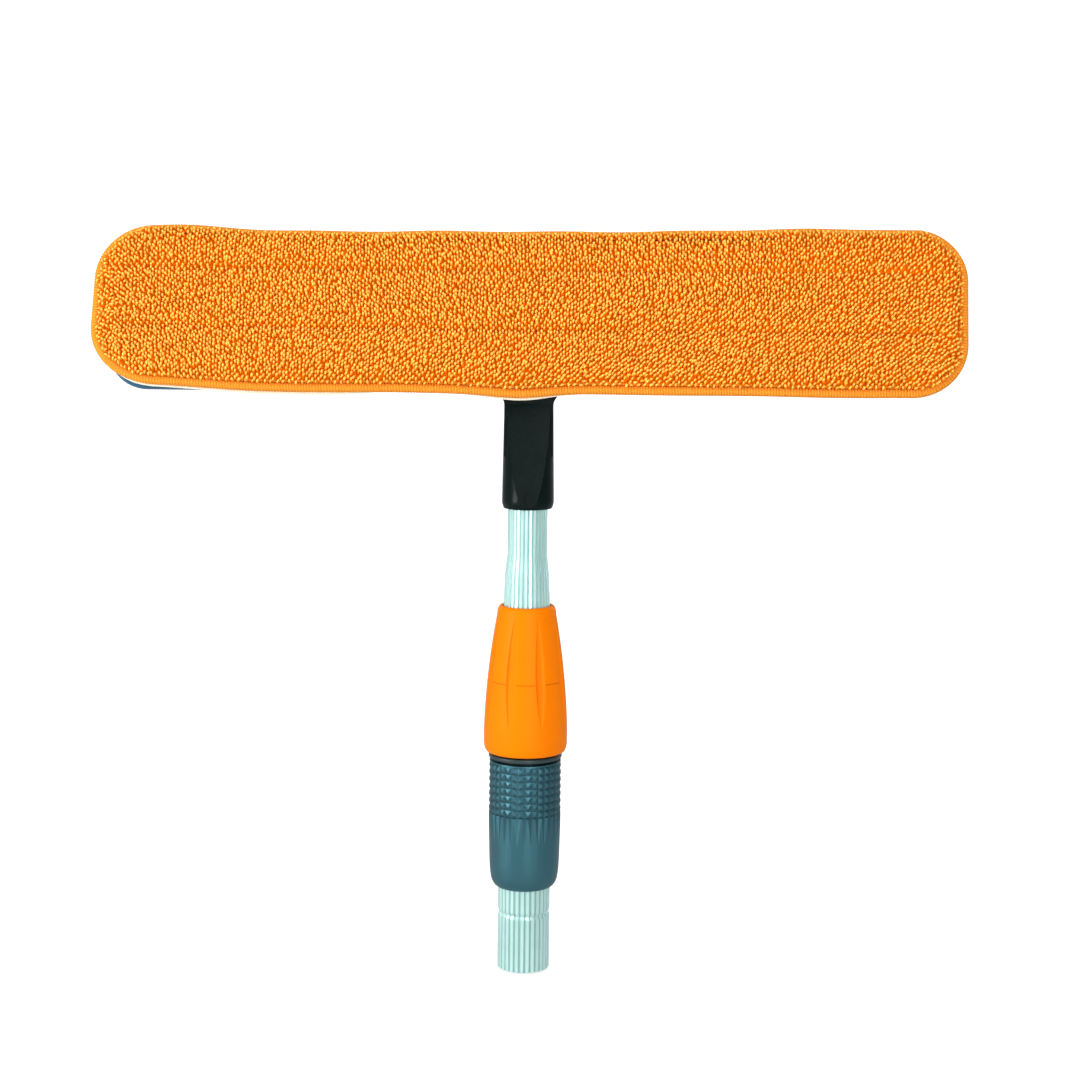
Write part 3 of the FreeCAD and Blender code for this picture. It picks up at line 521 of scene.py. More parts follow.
def chain_stitch():
    """Two threads of the binding's chain stitch: each weaves in and out across the line."""
    strands = []
    count = int(edge_length() / CHAIN_PITCH) * CHAIN_STEPS
    line, outward = edge_frame(count, BINDING_LIP + STITCH_INSET)
    phase = np.arange(count) / CHAIN_STEPS * 2 * np.pi
    around = np.linspace(0, 2 * np.pi, THREAD_SIDES, endpoint=False)
    for strand in (0, 1):
        shift = 0.42 * MM * np.sin(phase + strand * np.pi)
        lift = binding_high[2] + 0.9 * MM + 0.22 * MM * np.cos(phase + strand * np.pi)
        mid = line + outward * shift[:, None]
        flat = mid[:, None] + outward[:, None] * (0.3 * MM * np.cos(around))[None, :, None]
        points = on_head(flat[..., 0], flat[..., 1], lift[:, None] + 0.3 * MM * np.sin(around)[None])
        strands.append(points)
    faces = grid_faces(count, THREAD_SIDES, True, True)
    both = np.concatenate([p.reshape(-1, 3) for p in strands])
    return make_mesh("binding_chain_stitch", both, np.concatenate([faces, faces + count * THREAD_SIDES]))


def pad_backing():
    """Thin white back of the pad: the outline drawn in to its middle line on both faces, with a
    rounded edge that shows a little below the binding."""
    outline = pad_outline(900, 0.5 * MM)
    x = outline[:, 0]
    proud = 1.1 * bump(x, -3 * MM, 22 * MM)
    left_run = smooth_step(-196 * MM, -180 * MM, x) * (1 - smooth_step(-92 * MM, -62 * MM, x))
    proud = proud + 1.5 * left_run
    proud = proud * MM * (outline[:, 1] < -pad_half_y + 26 * MM)
    low, high = backing_low[2], backing_high[2] - 0.05 * MM
    middle = (low + high) / 2
    rows = [(0.0, low), (0.7, low), (0.985, low), (1.0, middle), (0.985, high), (0.7, high),
            (0.0, high)]
    points = []
    for share, z in rows:
        ring = toward_spine(outline, share)
        x, y = pad_waves(ring[:, 0], ring[:, 1] - proud * share)
        points.append(on_head(x, y, np.full(len(x), z)))
    return surface("pad_back", np.array(points), sharp=40)


def seam_stitches():
    """Lock stitches in the two sewn channels: a thread that dips into the pile every 3 mm."""
    runs = []
    count = 760
    x = np.linspace(-pad_half_x + 9 * MM, pad_half_x - 9 * MM, count)
    around = np.linspace(0, 2 * np.pi, THREAD_SIDES, endpoint=False)
    for seam in SEAM_Y:
        y = seam + 0.25 * MM * np.sin(x / (17 * MM))
        z = pile_low[2] + 0.8 * MM + 0.7 * MM * np.abs(np.cos(np.pi * x / (3.0 * MM)))
        wx, wy = pad_waves(x, y)
        thick = 0.26 * MM * np.minimum(1, 20 * (1 - np.abs(np.linspace(-1, 1, count))))
        runs.append(on_head(wx[:, None] + 0 * around, wy[:, None] + thick[:, None] * np.cos(around),
                            z[:, None] + thick[:, None] * np.sin(around)))
    faces = grid_faces(count, THREAD_SIDES, False, True)
    both = np.concatenate([p.reshape(-1, 3) for p in runs])
    return make_mesh("seam_stitches", both, np.concatenate([faces, faces + count * THREAD_SIDES]))


# ---------------------------------------------------------------- grip and nut
def round_section(radius, z, angle):
    """Points of a surface of revolution whose radius may change with the angle."""
    return np.stack([radius * np.cos(angle), radius * np.sin(angle), z + 0 * radius], -1)


def hand_grip():
    """Rubber sleeve. Its radius is a smooth barrel less a relief: pyramids, as the larger of two
    saw-tooth distances, and below them V grooves whose half width shrinks to a point."""
    low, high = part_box("grip_sleeve")
    foot, top, out = low[2], high[2], high[0]
    row = 3.56 * MM
    cut = 0.6 * MM
    spike = 15 * MM
    band_top = top - 0.8 * MM
    band_low = band_top - GRIP_ROWS * row
    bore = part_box("lock_body")[1][0] - 1.2 * MM
    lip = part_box("outer_tube")[1][0] + 0.05 * MM
    heights = [np.array([foot, foot + 0.25 * MM]),
               foot + np.array([0.9, 1.8, 3.0, 4.6, 6.4, 8.6, 11.5]) * MM,
               np.linspace(foot + 14 * MM, band_low - spike - 0.5 * MM, 6),
               np.linspace(band_low - spike, band_low - 0.15 * MM, 16),
               band_low + np.arange(GRIP_ROWS * 4 + 1) * row / 4,
               np.array([band_top + 0.15 * MM, top - 0.4 * MM, top - 0.15 * MM, top])]
    z = np.concatenate(heights)
    rise = np.array([0, 0.25, 0.9, 1.8, 3.0, 4.6, 6.4, 8.6, 11.5, 16, 22, 40, 60, 63]) * MM
    reach = np.array([13.6, 14.0, 14.75, 15.35, 15.9, 16.3, 16.55, 16.78, 16.95, 17.1, 17.25, 17.6,
                      17.55, 17.3]) * MM
    lower = np.interp(z, foot + rise, reach)
    barrel = lower + (out - np.max(lower))
    share = np.clip((z - (band_low - spike)) / spike, 0, 1)
    half = np.where(z < band_low - 1e-6, np.maximum(share, 0.02), 1.0)
    crease = np.where(z < band_low - 1e-6, 1 - half, 0.5)
    spot = np.stack([-1 + 0 * crease, -crease, 0 * crease, crease], -1)
    column = np.arange(GRIP_COLUMNS)
    pitch = 2 * np.pi / GRIP_COLUMNS
    angle = (column[None, :, None] + 0.5 + spot[:, None, :] / 2) * pitch
    across = np.abs(np.broadcast_to(spot[:, None, :], angle.shape))
    in_band = (z >= band_low - 1e-6) & (z <= band_top + 1e-6)
    saw = np.abs(((z - band_low) / row) % 1 * 2 - 1)
    saw = np.where(np.abs(z - band_top) < 1e-6, 1.0, saw)
    pyramid = np.maximum(across, saw[:, None, None])
    groove = np.clip(across - (1 - half[:, None, None]), 0, None) * (share[:, None, None] > 0)
    below = np.where(z[:, None, None] < band_low, groove, 0.0)
    relief = np.where(in_band[:, None, None], pyramid, below)
    radius = barrel[:, None, None] - cut * relief
    skin = round_section(radius, z[:, None, None], angle).reshape(len(z), -1, 3)
    ends = [(bore + 0.4 * MM, top), (bore, top - 0.3 * MM), (bore, foot + 8 * MM),
            (lip, foot + 7 * MM), (lip, foot)]
    flat = angle[0].reshape(-1)
    inside = np.array([round_section(np.full(flat.shape, r), zz, flat) for r, zz in ends])

    def split(i, j):
        return ((i - (len(z) - 4 - GRIP_ROWS * 4 - 1)) % 4 < 2) == (j % 4 < 2)

    grip = surface("hand_grip", np.concatenate([skin, inside]), wrap_rows=True, split=split, sharp=16)
    # Painted shade: the deeper the relief, the darker the rubber.
    painted_shade = (relief * np.ones_like(angle)).reshape(len(z), -1)
    keep_marks(grip, "crease", np.concatenate([painted_shade, np.zeros((len(ends), painted_shade.shape[1]))]))
    return grip


def twist_nut():
    """Twist-lock nut. Its radius is a straight skirt, a long convex side and a rounded crown, less
    eight leaf-shaped flutes: a leaf's half width is a skewed sine of the height, and its depth the
    product of a power of the place from its one edge and a power of the place from the other,
    so that one wall is steep. A fine parting line crosses only the lands."""
    low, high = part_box("lock_nut")
    foot, top, skirt = low[2], high[2], high[0]
    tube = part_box("guide_bush")[1][0] - 0.25 * MM
    mouth, rim, crown = tube + 0.4 * MM, tube + 1.05 * MM, tube + 3.05 * MM
    side_low, side_top = foot + 11 * MM, foot + 67.3 * MM
    parting = foot + 35.5 * MM
    leaf_low, leaf_top = foot + 13.6 * MM, foot + 68.2 * MM
    z = np.concatenate([
        foot + np.array([0, 0.15, 0.5, 1.1, 1.9, 3.0, 4.2, 5.4, 7.5, 9.5]) * MM,
        np.linspace(side_low, parting - 0.5 * MM, 46),
        parting + np.array([-0.32, -0.24, 0.0, 0.24, 0.32]) * MM,
        np.linspace(parting + 0.5 * MM, side_top - 0.3 * MM, 58),
        side_top + np.array([0, 0.9, 1.7, 2.4, 3.0, 3.5, 3.9, 4.15, 4.3]) * MM])
    rise = np.clip((z - foot) / (5.4 * MM), 0, 1)
    foot_in = 1.7 * MM * (1 - np.sqrt(1 - (1 - rise) ** 2.2))
    part = np.clip((z - side_low) / (side_top - side_low), 0, 1)
    side = skirt + (crown - skirt) * part + 4 * 1.05 * MM * part * (1 - part)
    dome = np.clip((z - side_top) / (4.4 * MM), 0, 1)
    barrel = side - foot_in - (crown - rim) * (1 - np.sqrt(1 - dome ** 2.4))
    t = np.clip((z - leaf_low) / (leaf_top - leaf_low), 0, 1)
    width = 2.35 * MM * np.sin(np.pi * t ** 0.88) ** 0.9
    half = np.maximum(width / barrel, math.radians(0.12))
    deep = 1.15 * MM * (width / (2.35 * MM)) ** 1.1
    sector = 2 * np.pi / LEAVES
    inner = np.linspace(-1, 1, 11)[None] * half[:, None]
    right = half[:, None] + (sector / 2 - half[:, None]) * np.linspace(0, 1, 11)[None, 1:]
    left = -right[:, ::-1][:, 1:]
    spot = np.concatenate([left, inner, right], 1)
    u = np.clip(spot / half[:, None], -1, 1)
    hollow = ((1 + u) / 0.7) ** 0.7 * ((1 - u) / 1.3) ** 1.3 * deep[:, None]
    land = np.abs(spot) > half[:, None] * 1.001
    line = np.where(np.abs(z - parting) < 0.1 * MM, 0.16 * MM, 0.0)
    radius = barrel[:, None] - hollow - line[:, None] * land
    angle = (np.arange(LEAVES)[None, :, None] + 0.5) * sector + spot[:, None, :]
    radius = np.broadcast_to(radius[:, None, :], angle.shape)
    skin = round_section(radius, z[:, None, None], angle).reshape(len(z), -1, 3)
    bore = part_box("thrust_washer")[1][0] + 0.1 * MM
    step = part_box("thrust_washer")[1][2] + 0.1 * MM
    flat = angle[0].reshape(-1)
    ends = [(rim - 0.25 * MM, top), (mouth + 0.1 * MM, top), (mouth, top - 0.2 * MM), (mouth, step),
            (bore, step), (bore, foot + 0.2 * MM), (bore + 0.2 * MM, foot)]
    inside = np.array([round_section(np.full(flat.shape, r), zz, flat) for r, zz in ends])
    nut = surface("twist_nut", np.concatenate([skin, inside]), wrap_rows=True, sharp=32)
    # Painted shade along the parting line and down the steep left wall of each flute, marked for the
    # material to darken.
    seam = ((np.abs(z - parting) < 0.27 * MM)[:, None] * land).astype(float)
    wall = np.clip(-spot / half[:, None], 0, 1) ** 6 * ~land * (width / (2.35 * MM))[:, None]
    painted_shade = np.maximum(seam, 0.55 * wall)
    painted_shade = np.broadcast_to(painted_shade[:, None, :], angle.shape).reshape(len(z), -1)
    painted_shade = np.concatenate([painted_shade, np.zeros((len(ends), painted_shade.shape[1]))])
    keep_marks(nut, "crease", painted_shade)
    return nut


# ---------------------------------------------------------------- materials
def new_group(name, inputs, outputs):
    """Empty node group with named inputs and outputs; returns it with its two ends."""
    group = bpy.data.node_groups.new(name, "ShaderNodeTree")
    for label, kind, value in inputs:
        socket = group.interface.new_socket(name=label, in_out="INPUT", socket_type=kind)
        if value is not None:
            socket.default_value = value
    for label, kind in outputs:
        group.interface.new_socket(name=label, in_out="OUTPUT", socket_type=kind)
    return group, group.nodes.new("NodeGroupInput"), group.nodes.new("NodeGroupOutput")


def node(tree, kind, **values):
    """New node with its properties, or its input sockets by name, set."""
    made = tree.nodes.new(kind)
    for key, value in values.items():
        if hasattr(made, key):
            setattr(made, key, value)
        else:
            made.inputs[key.replace("_", " ")].default_value = value
    return made


def noise(group, place, scale, **values):
    """Noise on the piece's own coordinates; scale is a number or the socket that gives it."""
    made = node(group, "ShaderNodeTexNoise", **values)
    group.links.new(place.outputs["Object"], made.inputs["Vector"])
    if isinstance(scale, float):
        made.inputs["Scale"].default_value = scale
    else:
        group.links.new(scale, made.inputs["Scale"])
    return made


def spread_out(group, source, low, high, reach=1.0, start=0.0):
    """Stretches source so that low to high becomes start to reach, and cuts off the rest."""
    made = node(group, "ShaderNodeMapRange", clamp=True)
    made.inputs["From Min"].default_value = low
    made.inputs["From Max"].default_value = high
    made.inputs["To Min"].default_value = start
    made.inputs["To Max"].default_value = reach
    group.links.new(source, made.inputs["Value"])
    return made.outputs["Result"]


def blend_out(group, share, one, two, outs):
    """Puts out a colour between two, by share."""
    tone = node(group, "ShaderNodeMix", data_type="RGBA")
    group.links.new(share, tone.inputs["Factor"])
    group.links.new(one, tone.inputs["A"])
    group.links.new(two, tone.inputs["B"])
    group.links.new(tone.outputs["Result"], outs.inputs["Colour"])


def rough_out(group, source, gain, base, outs):
    """Puts out a roughness: base plus source times gain."""
    rough = node(group, "ShaderNodeMath", operation="MULTIPLY_ADD")
    group.links.new(source, rough.inputs[0])
    rough.inputs[1].default_value = gain
    group.links.new(base, rough.inputs[2])
    group.links.new(rough.outputs[0], outs.inputs["Roughness"])


def relief_out(group, height, outs, strength=None, **values):
    """Puts out a normal raised by height; strength is the socket that gives its strength."""
    relief = node(group, "ShaderNodeBump", **values)
    if strength is not None:
        group.links.new(strength, relief.inputs["Strength"])
    group.links.new(height, relief.inputs["Height"])
    group.links.new(relief.outputs["Normal"], outs.inputs["Normal"])


def moulded_skin():
    """Moulded plastic: a fine spark grain, slow flow marks and light rubbed spots."""
    group, ins, outs = new_group(
        "moulded_skin",
        [("Grain", "NodeSocketFloat", 2200.0), ("Colour", "NodeSocketColor", (0.5, 0.5, 0.5, 1)),
         ("Worn", "NodeSocketColor", (0.7, 0.7, 0.7, 1)), ("Roughness", "NodeSocketFloat", 0.45),
         ("Relief", "NodeSocketFloat", 0.2)],
        [("Colour", "NodeSocketColor"), ("Roughness", "NodeSocketFloat"), ("Normal", "NodeSocketVector")])
    place = node(group, "ShaderNodeTexCoord")
    grain = noise(group, place, ins.outputs["Grain"], Detail=2.0, Roughness=0.6)
    flow = noise(group, place, 38.0, Detail=4.0, Roughness=0.55)
    rubbed = spread_out(group, flow.outputs["Fac"], 0.56, 0.8, reach=0.35)
    blend_out(group, rubbed, ins.outputs["Colour"], ins.outputs["Worn"], outs)
    rough_out(group, flow.outputs["Fac"], 0.16, ins.outputs["Roughness"], outs)
    relief_out(group, grain.outputs["Fac"], outs, ins.outputs["Relief"], Distance=0.00015)
    return group


def drawn_metal():
    """Drawn or turned metal: streaks along Z, fine scratches and a faint haze."""
    group, ins, outs = new_group(
        "drawn_metal",
        [("Colour", "NodeSocketColor", (0.7, 0.7, 0.7, 1)), ("Dull", "NodeSocketColor", (0.5, 0.5, 0.5, 1)),
         ("Roughness", "NodeSocketFloat", 0.3), ("Stretch", "NodeSocketVector", (900.0, 900.0, 12.0))],
        [("Colour", "NodeSocketColor"), ("Roughness", "NodeSocketFloat"), ("Normal", "NodeSocketVector")])
    place = node(group, "ShaderNodeTexCoord")
    pulled = node(group, "ShaderNodeVectorMath", operation="MULTIPLY")
    group.links.new(place.outputs["Object"], pulled.inputs[0])
    group.links.new(ins.outputs["Stretch"], pulled.inputs[1])
    streak = node(group, "ShaderNodeTexNoise", Scale=1.0, Detail=3.0, Roughness=0.55)
    group.links.new(pulled.outputs["Vector"], streak.inputs["Vector"])
    haze = noise(group, place, 55.0, Detail=5.0, Roughness=0.6)
    both = node(group, "ShaderNodeMath", operation="MULTIPLY")
    group.links.new(streak.outputs["Fac"], both.inputs[0])
    group.links.new(haze.outputs["Fac"], both.inputs[1])
    share = spread_out(group, both.outputs[0], 0.12, 0.42)
    blend_out(group, share, ins.outputs["Dull"], ins.outputs["Colour"], outs)
    rough_out(group, streak.outputs["Fac"], 0.14, ins.outputs["Roughness"], outs)
    relief_out(group, streak.outputs["Fac"], outs, Strength=0.12, Distance=0.0001)
    return group


def fibre_tone():
    """Thread and fleece: a fine fibre noise that mottles the colour and lifts the surface."""
    group, ins, outs = new_group(
        "fibre_tone",
        [("Deep", "NodeSocketColor", (0.3, 0.1, 0, 1)), ("Light", "NodeSocketColor", (0.9, 0.5, 0.1, 1)),
         ("Scale", "NodeSocketFloat", 1500.0), ("Relief", "NodeSocketFloat", 0.4)],
        [("Colour", "NodeSocketColor"), ("Roughness", "NodeSocketFloat"), ("Normal", "NodeSocketVector")])
    place = node(group, "ShaderNodeTexCoord")
    fibre = noise(group, place, ins.outputs["Scale"], Detail=4.0, Roughness=0.65)
    share = spread_out(group, fibre.outputs["Fac"], 0.3, 0.7)
    blend_out(group, share, ins.outputs["Deep"], ins.outputs["Light"], outs)
    rough = spread_out(group, fibre.outputs["Fac"], 0.0, 1.0, start=0.75, reach=0.95)
    group.links.new(rough, outs.inputs["Roughness"])
    relief_out(group, fibre.outputs["Fac"], outs, ins.outputs["Relief"], Distance=0.0002)
    return group


GROUPS = {"moulded_skin": moulded_skin(), "drawn_metal": drawn_metal(), "fibre_tone": fibre_tone()}


def material(name, effect, shader=(), **inputs):
    """Material whose shader takes colour, roughness and normal from one shared effect.
    shader holds the constants set on the shader's own sockets."""
    made = bpy.data.materials.new(name)
    made.use_nodes = True
    tree = made.node_tree
    skin = tree.nodes["Principled BSDF"]
    group = tree.nodes.new("ShaderNodeGroup")
    group.node_tree = GROUPS[effect]
    for key, value in inputs.items():
        group.inputs[key.capitalize()].default_value = value
    tree.links.new(group.outputs["Colour"], skin.inputs["Base Color"])
    tree.links.new(group.outputs["Roughness"], skin.inputs["Roughness"])
    tree.links.new(group.outputs["Normal"], skin.inputs["Normal"])
    for key, value in dict(shader).items():
        skin.inputs[key].default_value = value
    return made


def tinted(red, green, blue):
    """Linear colour from screen values of 0 to 255."""
    screen = np.array([red, green, blue]) / 255
    linear = np.where(screen <= 0.04045, screen / 12.92, ((screen + 0.055) / 1.055) ** 2.4)
    return (*[float(c) for c in linear], 1.0)


def pile_material():
    """Looped microfibre: deep orange at the root, pale yellow orange at the loop's top, with each loop a
    little lighter or darker than the next. The deep root is painted shade and the pale top a painted
    highlight; the change from loop to loop is random tone."""
    made = bpy.data.materials.new("looped_microfibre")
    made.use_nodes = True
    tree = made.node_tree
    links = tree.links
    skin = tree.nodes["Principled BSDF"]
    painted_loop_light = node(tree, "ShaderNodeAttribute", attribute_name="painted_loop_light")
    shade = node(tree, "ShaderNodeAttribute", attribute_name="shade")
    # Painted shade at the loop's root, rising to a painted highlight at its top.
    ramp = node(tree, "ShaderNodeValToRGB")
    ramp.color_ramp.elements[0].position = 0.35
    ramp.color_ramp.elements[0].color = tinted(246, 128, 0)
    ramp.color_ramp.elements[1].position = 1.0
    ramp.color_ramp.elements[1].color = tinted(255, 208, 104)
    middle = ramp.color_ramp.elements.new(0.85)
    middle.color = tinted(254, 160, 4)
    links.new(painted_loop_light.outputs["Fac"], ramp.inputs["Fac"])
    each = node(tree, "ShaderNodeMapRange")
    each.inputs["To Min"].default_value = 0.82
    each.inputs["To Max"].default_value = 1.12
    links.new(shade.outputs["Fac"], each.inputs["Value"])
    tone = node(tree, "ShaderNodeHueSaturation")
    links.new(each.outputs["Result"], tone.inputs["Value"])
    links.new(ramp.outputs["Color"], tone.inputs["Color"])
    fibre = tree.nodes.new("ShaderNodeGroup")
    fibre.node_tree = GROUPS["fibre_tone"]
    fibre.inputs["Scale"].default_value = 2600.0
    fibre.inputs["Relief"].default_value = 0.6
    links.new(tone.outputs["Color"], skin.inputs["Base Color"])
    links.new(fibre.outputs["Roughness"], skin.inputs["Roughness"])
    links.new(fibre.outputs["Normal"], skin.inputs["Normal"])
    skin.inputs["Sheen Weight"].default_value = 0.02
    skin.inputs["Sheen Roughness"].default_value = 0.4
    skin.inputs["Sheen Tint"].default_value = tinted(255, 190, 80)
    skin.inputs["Specular IOR Level"].default_value = 0.05
    # Faint orange glow: painted light that fills the shade between the loops.
    skin.inputs["Emission Color"].default_value = tinted(255, 150, 0)
    skin.inputs["Emission Strength"].default_value = 0.07
    return made


def paint_crease_shade(made, dark, strength):
    """Changes a material so that it is darker along the creases that its piece carries as marks: painted
    shade in the creases.
    """
    tree = made.node_tree
    skin = tree.nodes["Principled BSDF"]
    source = skin.inputs["Base Color"].links[0].from_socket
    marks = node(tree, "ShaderNodeAttribute", attribute_name="crease")
    share = node(tree, "ShaderNodeMath", operation="MULTIPLY")
    share.inputs[1].default_value = strength
    tone = node(tree, "ShaderNodeMix", data_type="RGBA")
    tree.links.new(marks.outputs["Fac"], share.inputs[0])
    tree.links.new(share.outputs[0], tone.inputs["Factor"])
    tree.links.new(source, tone.inputs["A"])
    tone.inputs["B"].default_value = dark
    tree.links.new(tone.outputs["Result"], skin.inputs["Base Color"])


def paint_groove_shade(made, dark, strength):
    """Darkens the grooves of a tube with flutes, as painted shade: the angle about the pole, in flutes, is
    cut down to its fraction, and the grooves are where that is near the middle of a groove."""
    tree = made.node_tree
    skin = tree.nodes["Principled BSDF"]
    source = skin.inputs["Base Color"].links[0].from_socket
    place = node(tree, "ShaderNodeTexCoord")
    axes = node(tree, "ShaderNodeSeparateXYZ")
    tree.links.new(place.outputs["Object"], axes.inputs[0])
    chain = [("ARCTAN2", None), ("MULTIPLY", FLUTES / (2 * math.pi)), ("FRACT", None),
             ("SUBTRACT", 1 - FLUTE_SHARE / 2), ("ABSOLUTE", None)]
    here = axes.outputs["Y"]
    for operation, value in chain:
        step = node(tree, "ShaderNodeMath", operation=operation)
        tree.links.new(here, step.inputs[0])
        if operation == "ARCTAN2":
            tree.links.new(axes.outputs["X"], step.inputs[1])
        elif value is not None:
            step.inputs[1].default_value = value
        here = step.outputs[0]
    share = node(tree, "ShaderNodeMapRange", interpolation_type="SMOOTHSTEP")
    tree.links.new(here, share.inputs["Value"])
    share.inputs["From Min"].default_value = FLUTE_SHARE * 0.62
    share.inputs["From Max"].default_value = FLUTE_SHARE * 0.16
    share.inputs["To Max"].default_value = strength
    tone = node(tree, "ShaderNodeMix", data_type="RGBA")
    tree.links.new(share.outputs["Result"], tone.inputs["Factor"])
    tree.links.new(source, tone.inputs["A"])
    tone.inputs["B"].default_value = dark
    tree.links.new(tone.outputs["Result"], skin.inputs["Base Color"])


def wear(piece, made):
    """Gives a piece its one material."""
    piece.data.materials.clear()
    piece.data.materials.append(made)
    return piece


# ---------------------------------------------------------------- studio
def studio():
    """Pale sweep: a floor that curves up into a wall behind, as a profile carried along X."""
    floor_z = -1.2 * MM
    bend = np.radians(np.linspace(0, 90, 24))
    y = np.concatenate([[-4.0], 1.4 + 0.8 * np.sin(bend), [2.2]])
    z = np.concatenate([[0], 0.8 - 0.8 * np.cos(bend), [5.0]]) + floor_z
    x = np.linspace(-4, 4, 9)
    points = np.stack(np.broadcast_arrays(x[None], y[:, None], z[:, None]), -1)
    sweep = surface("studio_sweep", points, wrap_columns=False)
    paper = bpy.data.materials.new("studio_paper")
    paper.use_nodes = True
    skin = paper.node_tree.nodes["Principled BSDF"]
    skin.inputs["Base Color"].default_value = (0.8, 0.8, 0.8, 1)
    skin.inputs["Roughness"].default_value = 0.95
    skin.inputs["Specular IOR Level"].default_value = 0.1
    skin.inputs["Emission Color"].default_value = (1, 1, 1, 1)
    seen = node(paper.node_tree, "ShaderNodeLightPath")
    glow = node(paper.node_tree, "ShaderNodeMath", operation="MULTIPLY")
    glow.inputs[1].default_value = 0.7
    paper.node_tree.links.new(seen.outputs["Is Camera Ray"], glow.inputs[0])
    paper.node_tree.links.new(glow.outputs[0], skin.inputs["Emission Strength"])
    wear(sweep, paper)


def lamp(name, place, aim, size, power, colour=(1, 1, 1)):
    """Soft rectangular lamp at place, pointed at aim."""
    light = bpy.data.lights.new(name, "AREA")
    light.shape = "RECTANGLE"
    light.size, light.size_y = size
    light.energy = power
    light.color = colour
    holder = bpy.data.objects.new(name, light)
    bpy.context.scene.collection.objects.link(holder)
    direction = Vector(aim) - Vector(place)
    holder.location = place
    holder.rotation_euler = direction.to_track_quat("-Z", "Y").to_euler()


def camera():
    """Long lens, a little above the pole's middle and pitched down eight degrees."""
    lens = bpy.data.cameras.new("camera")
    lens.sensor_width = 36.0
    lens.lens = 36.0 * 2200 / 1080
    eye = bpy.data.objects.new("camera", lens)
    bpy.context.scene.collection.objects.link(eye)
    eye.location = (6.0 * MM, -1.047, 0.3591)
    roll = math.radians(0.65)
    look = Matrix.Rotation(math.radians(90 - 8), 4, "X") @ Matrix.Rotation(roll, 4, "Z")
    eye.rotation_euler = look.to_euler()
    bpy.context.scene.camera = eye


def world():
    """Even white surroundings: bright where they are seen, dimmer as a light."""
    sky = bpy.data.worlds.new("surroundings")
    sky.use_nodes = True
    back = sky.node_tree.nodes["Background"]
    back.inputs["Color"].default_value = (1, 1, 1, 1)
    seen = node(sky.node_tree, "ShaderNodeLightPath")
    strength = node(sky.node_tree, "ShaderNodeMath", operation="MULTIPLY_ADD")
    strength.inputs[1].default_value = 0.8
    strength.inputs[2].default_value = 0.25
    sky.node_tree.links.new(seen.outputs["Is Camera Ray"], strength.inputs[0])
    sky.node_tree.links.new(strength.outputs[0], back.inputs["Strength"])
    bpy.context.scene.world = sky
    bpy.context.scene.view_settings.view_transform = "Standard"


camera()
world()
studio()
lamp("key", (-1.4, -0.8, 0.5), (0, 0, 0.16), (0.22, 1.0), 18.5, (1.0, 0.98, 0.95))
lamp("front", (0.4, -1.6, 0.5), (0, 0, 0.16), (0.24, 1.0), 12.5)
lamp("top", (0.1, -0.9, 1.9), (0, 0, 0.3), (1.4, 0.8), 11)
lamp("rear", (1.2, 1.6, 1.0), (0, 0, 0.22), (0.4, 1.3), 6)
lamp("rear_left", (-1.2, 1.6, 1.0), (0, 0, 0.22), (0.4, 1.3), 3.5)

# ---------------------------------------------------------------- build and dress
orange_pile = pile_material()
THREADS = {
    # name: constants on the shader, deep colour, light colour, fibre scale, relief
    # The ground knit's faint orange glow is painted light that fills the shade between the loops.
    "orange_ground_knit": ({"Specular IOR Level": 0.05, "Emission Color": tinted(255, 150, 0),
                            "Emission Strength": 0.06}, (228, 112, 0), (252, 138, 0), 900.0, 0.8),
    "orange_thread": ({"Specular IOR Level": 0.2}, (246, 144, 24), (255, 178, 66), 1900.0, 0.5),
    # The seam thread's dark orange is painted shade of the sewn channels, given to a real thread.
    "seam_thread_painted_shade": ({"Specular IOR Level": 0.1}, (206, 88, 0), (238, 120, 10), 1900.0, 0.5),
    "white_fleece": ({"Sheen Weight": 0.4}, (232, 222, 190), (255, 250, 232), 1300.0, 0.9),
    "hook_tape": ({"Sheen Weight": 0.1}, (28, 30, 32), (74, 78, 82), 1200.0, 1.0),
}
MOULDED = {
    # name: metallic, specular level, colour, rubbed colour, roughness, grain, relief
    "orange_plastic": (0.0, 0.05, (255, 130, 0), (255, 140, 0), 0.34, 2600.0, 0.12),
    "grip_rubber": (0.85, 0.4, (64, 110, 123), (74, 122, 136), 0.33, 1900.0, 0.55),
    "black_plastic": (0.0, 0.1, (6, 22, 20), (12, 32, 30), 0.2, 2400.0, 0.16),
    "ring_plastic": (0.0, 0.4, (40, 60, 62), (62, 82, 86), 0.3, 2400.0, 0.1),
    "dark_plastic": (0.0, 0.2, (12, 20, 24), (40, 46, 50), 0.4, 2400.0, 0.16),
    "teal_plastic": (0.0, 0.5, (12, 84, 118), (50, 122, 152), 0.32, 2400.0, 0.12),
    "nylon": (0.0, 0.4, (226, 224, 212), (240, 238, 230), 0.4, 2200.0, 0.12),
}
finish = {}
for name, (constants, deep, light, scale, relief) in THREADS.items():
    finish[name] = material(name, "fibre_tone", constants, deep=tinted(*deep), light=tinted(*light),
                            scale=scale, relief=relief)
for name, (metallic, specular, colour, rubbed, roughness, grain, relief) in MOULDED.items():
    finish[name] = material(name, "moulded_skin", {"Metallic": metallic, "Specular IOR Level": specular},
                            colour=tinted(*colour), worn=tinted(*rubbed), roughness=roughness,
                            grain=grain, relief=relief)
finish["aluminium"] = material("aluminium", "drawn_metal", {"Metallic": 0.45, "Anisotropic": 0.3},
                               colour=tinted(212, 247, 243), dull=tinted(188, 228, 225), roughness=0.3)
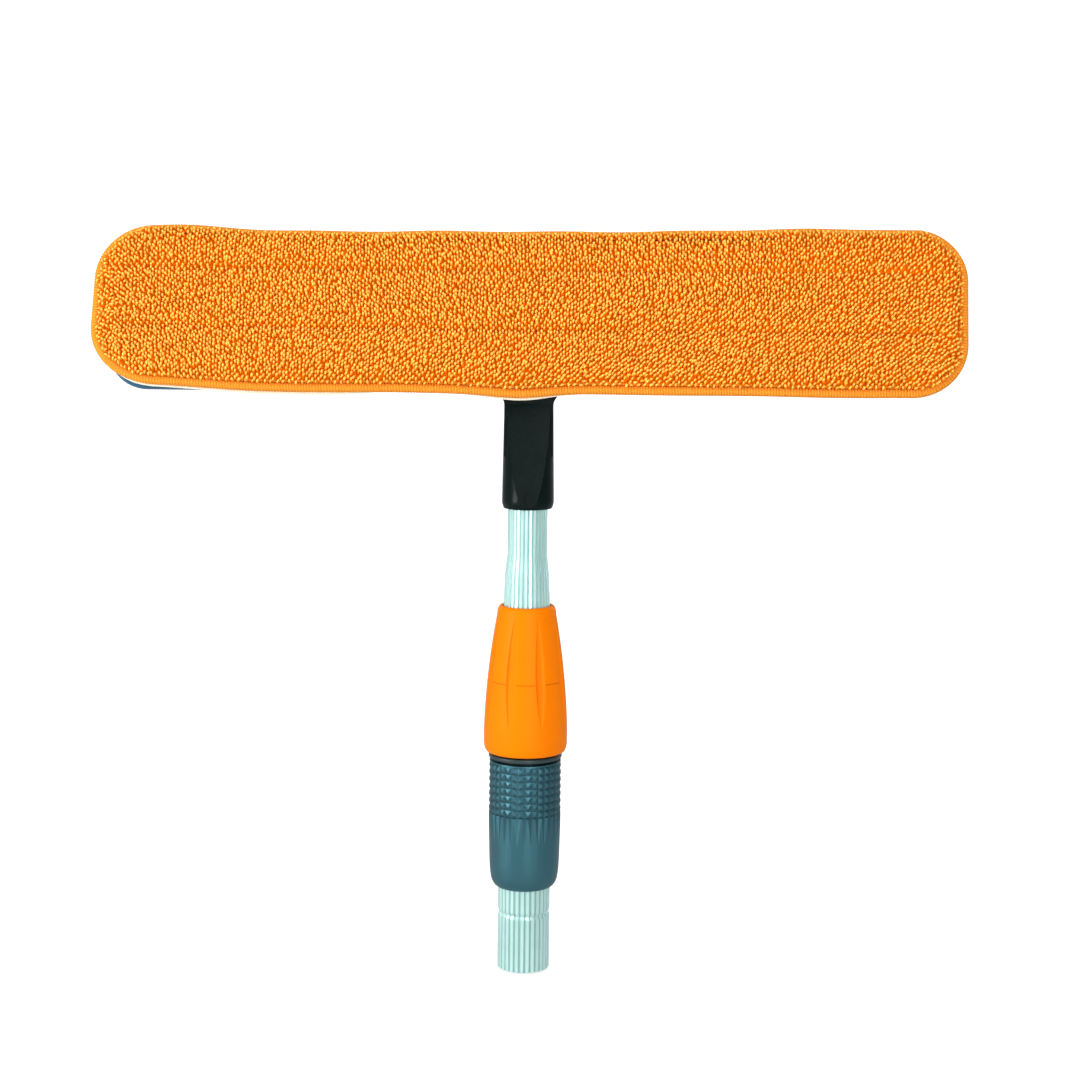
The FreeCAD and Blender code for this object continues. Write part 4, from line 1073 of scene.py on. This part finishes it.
finish["steel"] = material("steel", "drawn_metal", {"Metallic": 1.0}, colour=tinted(206, 208, 210),
                           dull=tinted(150, 152, 156), roughness=0.26, stretch=(400.0, 400.0, 400.0))
# Painted shade between the binding's thread ribs.
paint_crease_shade(finish["orange_thread"], tinted(206, 98, 0), 0.8)
# Painted shade along the nut's parting line and flute walls.
paint_crease_shade(finish["orange_plastic"], tinted(222, 92, 0), 0.75)
# Painted shade in the grip's pyramid valleys and V grooves.
paint_crease_shade(finish["grip_rubber"], tinted(30, 60, 70), 0.5)
# Painted shade in the tubes' grooves.
paint_groove_shade(finish["aluminium"], tinted(118, 166, 166), 0.75)

DRESS = {
    "aluminium": ("outer_tube", "inner_tube"),
    "black_plastic": ("end_plug", "socket", "knuckle", "swivel_bracket"),
    "dark_plastic": ("lock_body",),
    "ring_plastic": ("stop_ring",),
    "teal_plastic": ("backing_plate",),
    "nylon": ("lock_collet", "thrust_washer", "guide_bush", "tilt_washers"),
    "steel": ("collet_clip", "socket_screw", "sway_pin", "sway_pin_clip", "bracket_screws", "tilt_pin",
              "tilt_pin_clip"),
    "hook_tape": ("hook_strip_upper", "hook_strip_lower"),
}
for name, nodes in DRESS.items():
    for cad_node in nodes:
        wear(frame["nodes"][cad_node], finish[name])

body, body_points = pad_body()
height = height_map(body_points)
turned_to_head(body)
wear(body, finish["orange_ground_knit"])
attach(body, "pad")
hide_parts("pad_core")

bands = {"pile_upper": (SEAM_Y[0], pad_half_y), "pile_middle": (SEAM_Y[1], SEAM_Y[0]),
         "pile_lower": (-pad_half_y, SEAM_Y[1])}
loops = [pile_strip(name, low, high, height) for name, (low, high) in bands.items()]
loops.append(edge_loops())
for piece in loops:
    wear(piece, orange_pile)
    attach(piece, "pad")
    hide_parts("pad_pile")

for piece, made, node_name, slot_name in (
        (pad_binding(), "orange_thread", "pad_binding", "orange_thread"),
        (chain_stitch(), "orange_thread", "pad_binding", "orange_thread"),
        (seam_stitches(), "seam_thread_painted_shade", "pad_pile", "orange_thread"),
        (pad_backing(), "white_fleece", "pad_backing", "white_fleece")):
    wear(piece, finish[made])
    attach(piece, "pad")
    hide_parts(node_name)

grip = wear(hand_grip(), finish["grip_rubber"])
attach(grip, "pole")
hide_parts("grip_sleeve")

nut = wear(twist_nut(), finish["orange_plastic"])
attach(nut, "nut")
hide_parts("lock_nut")
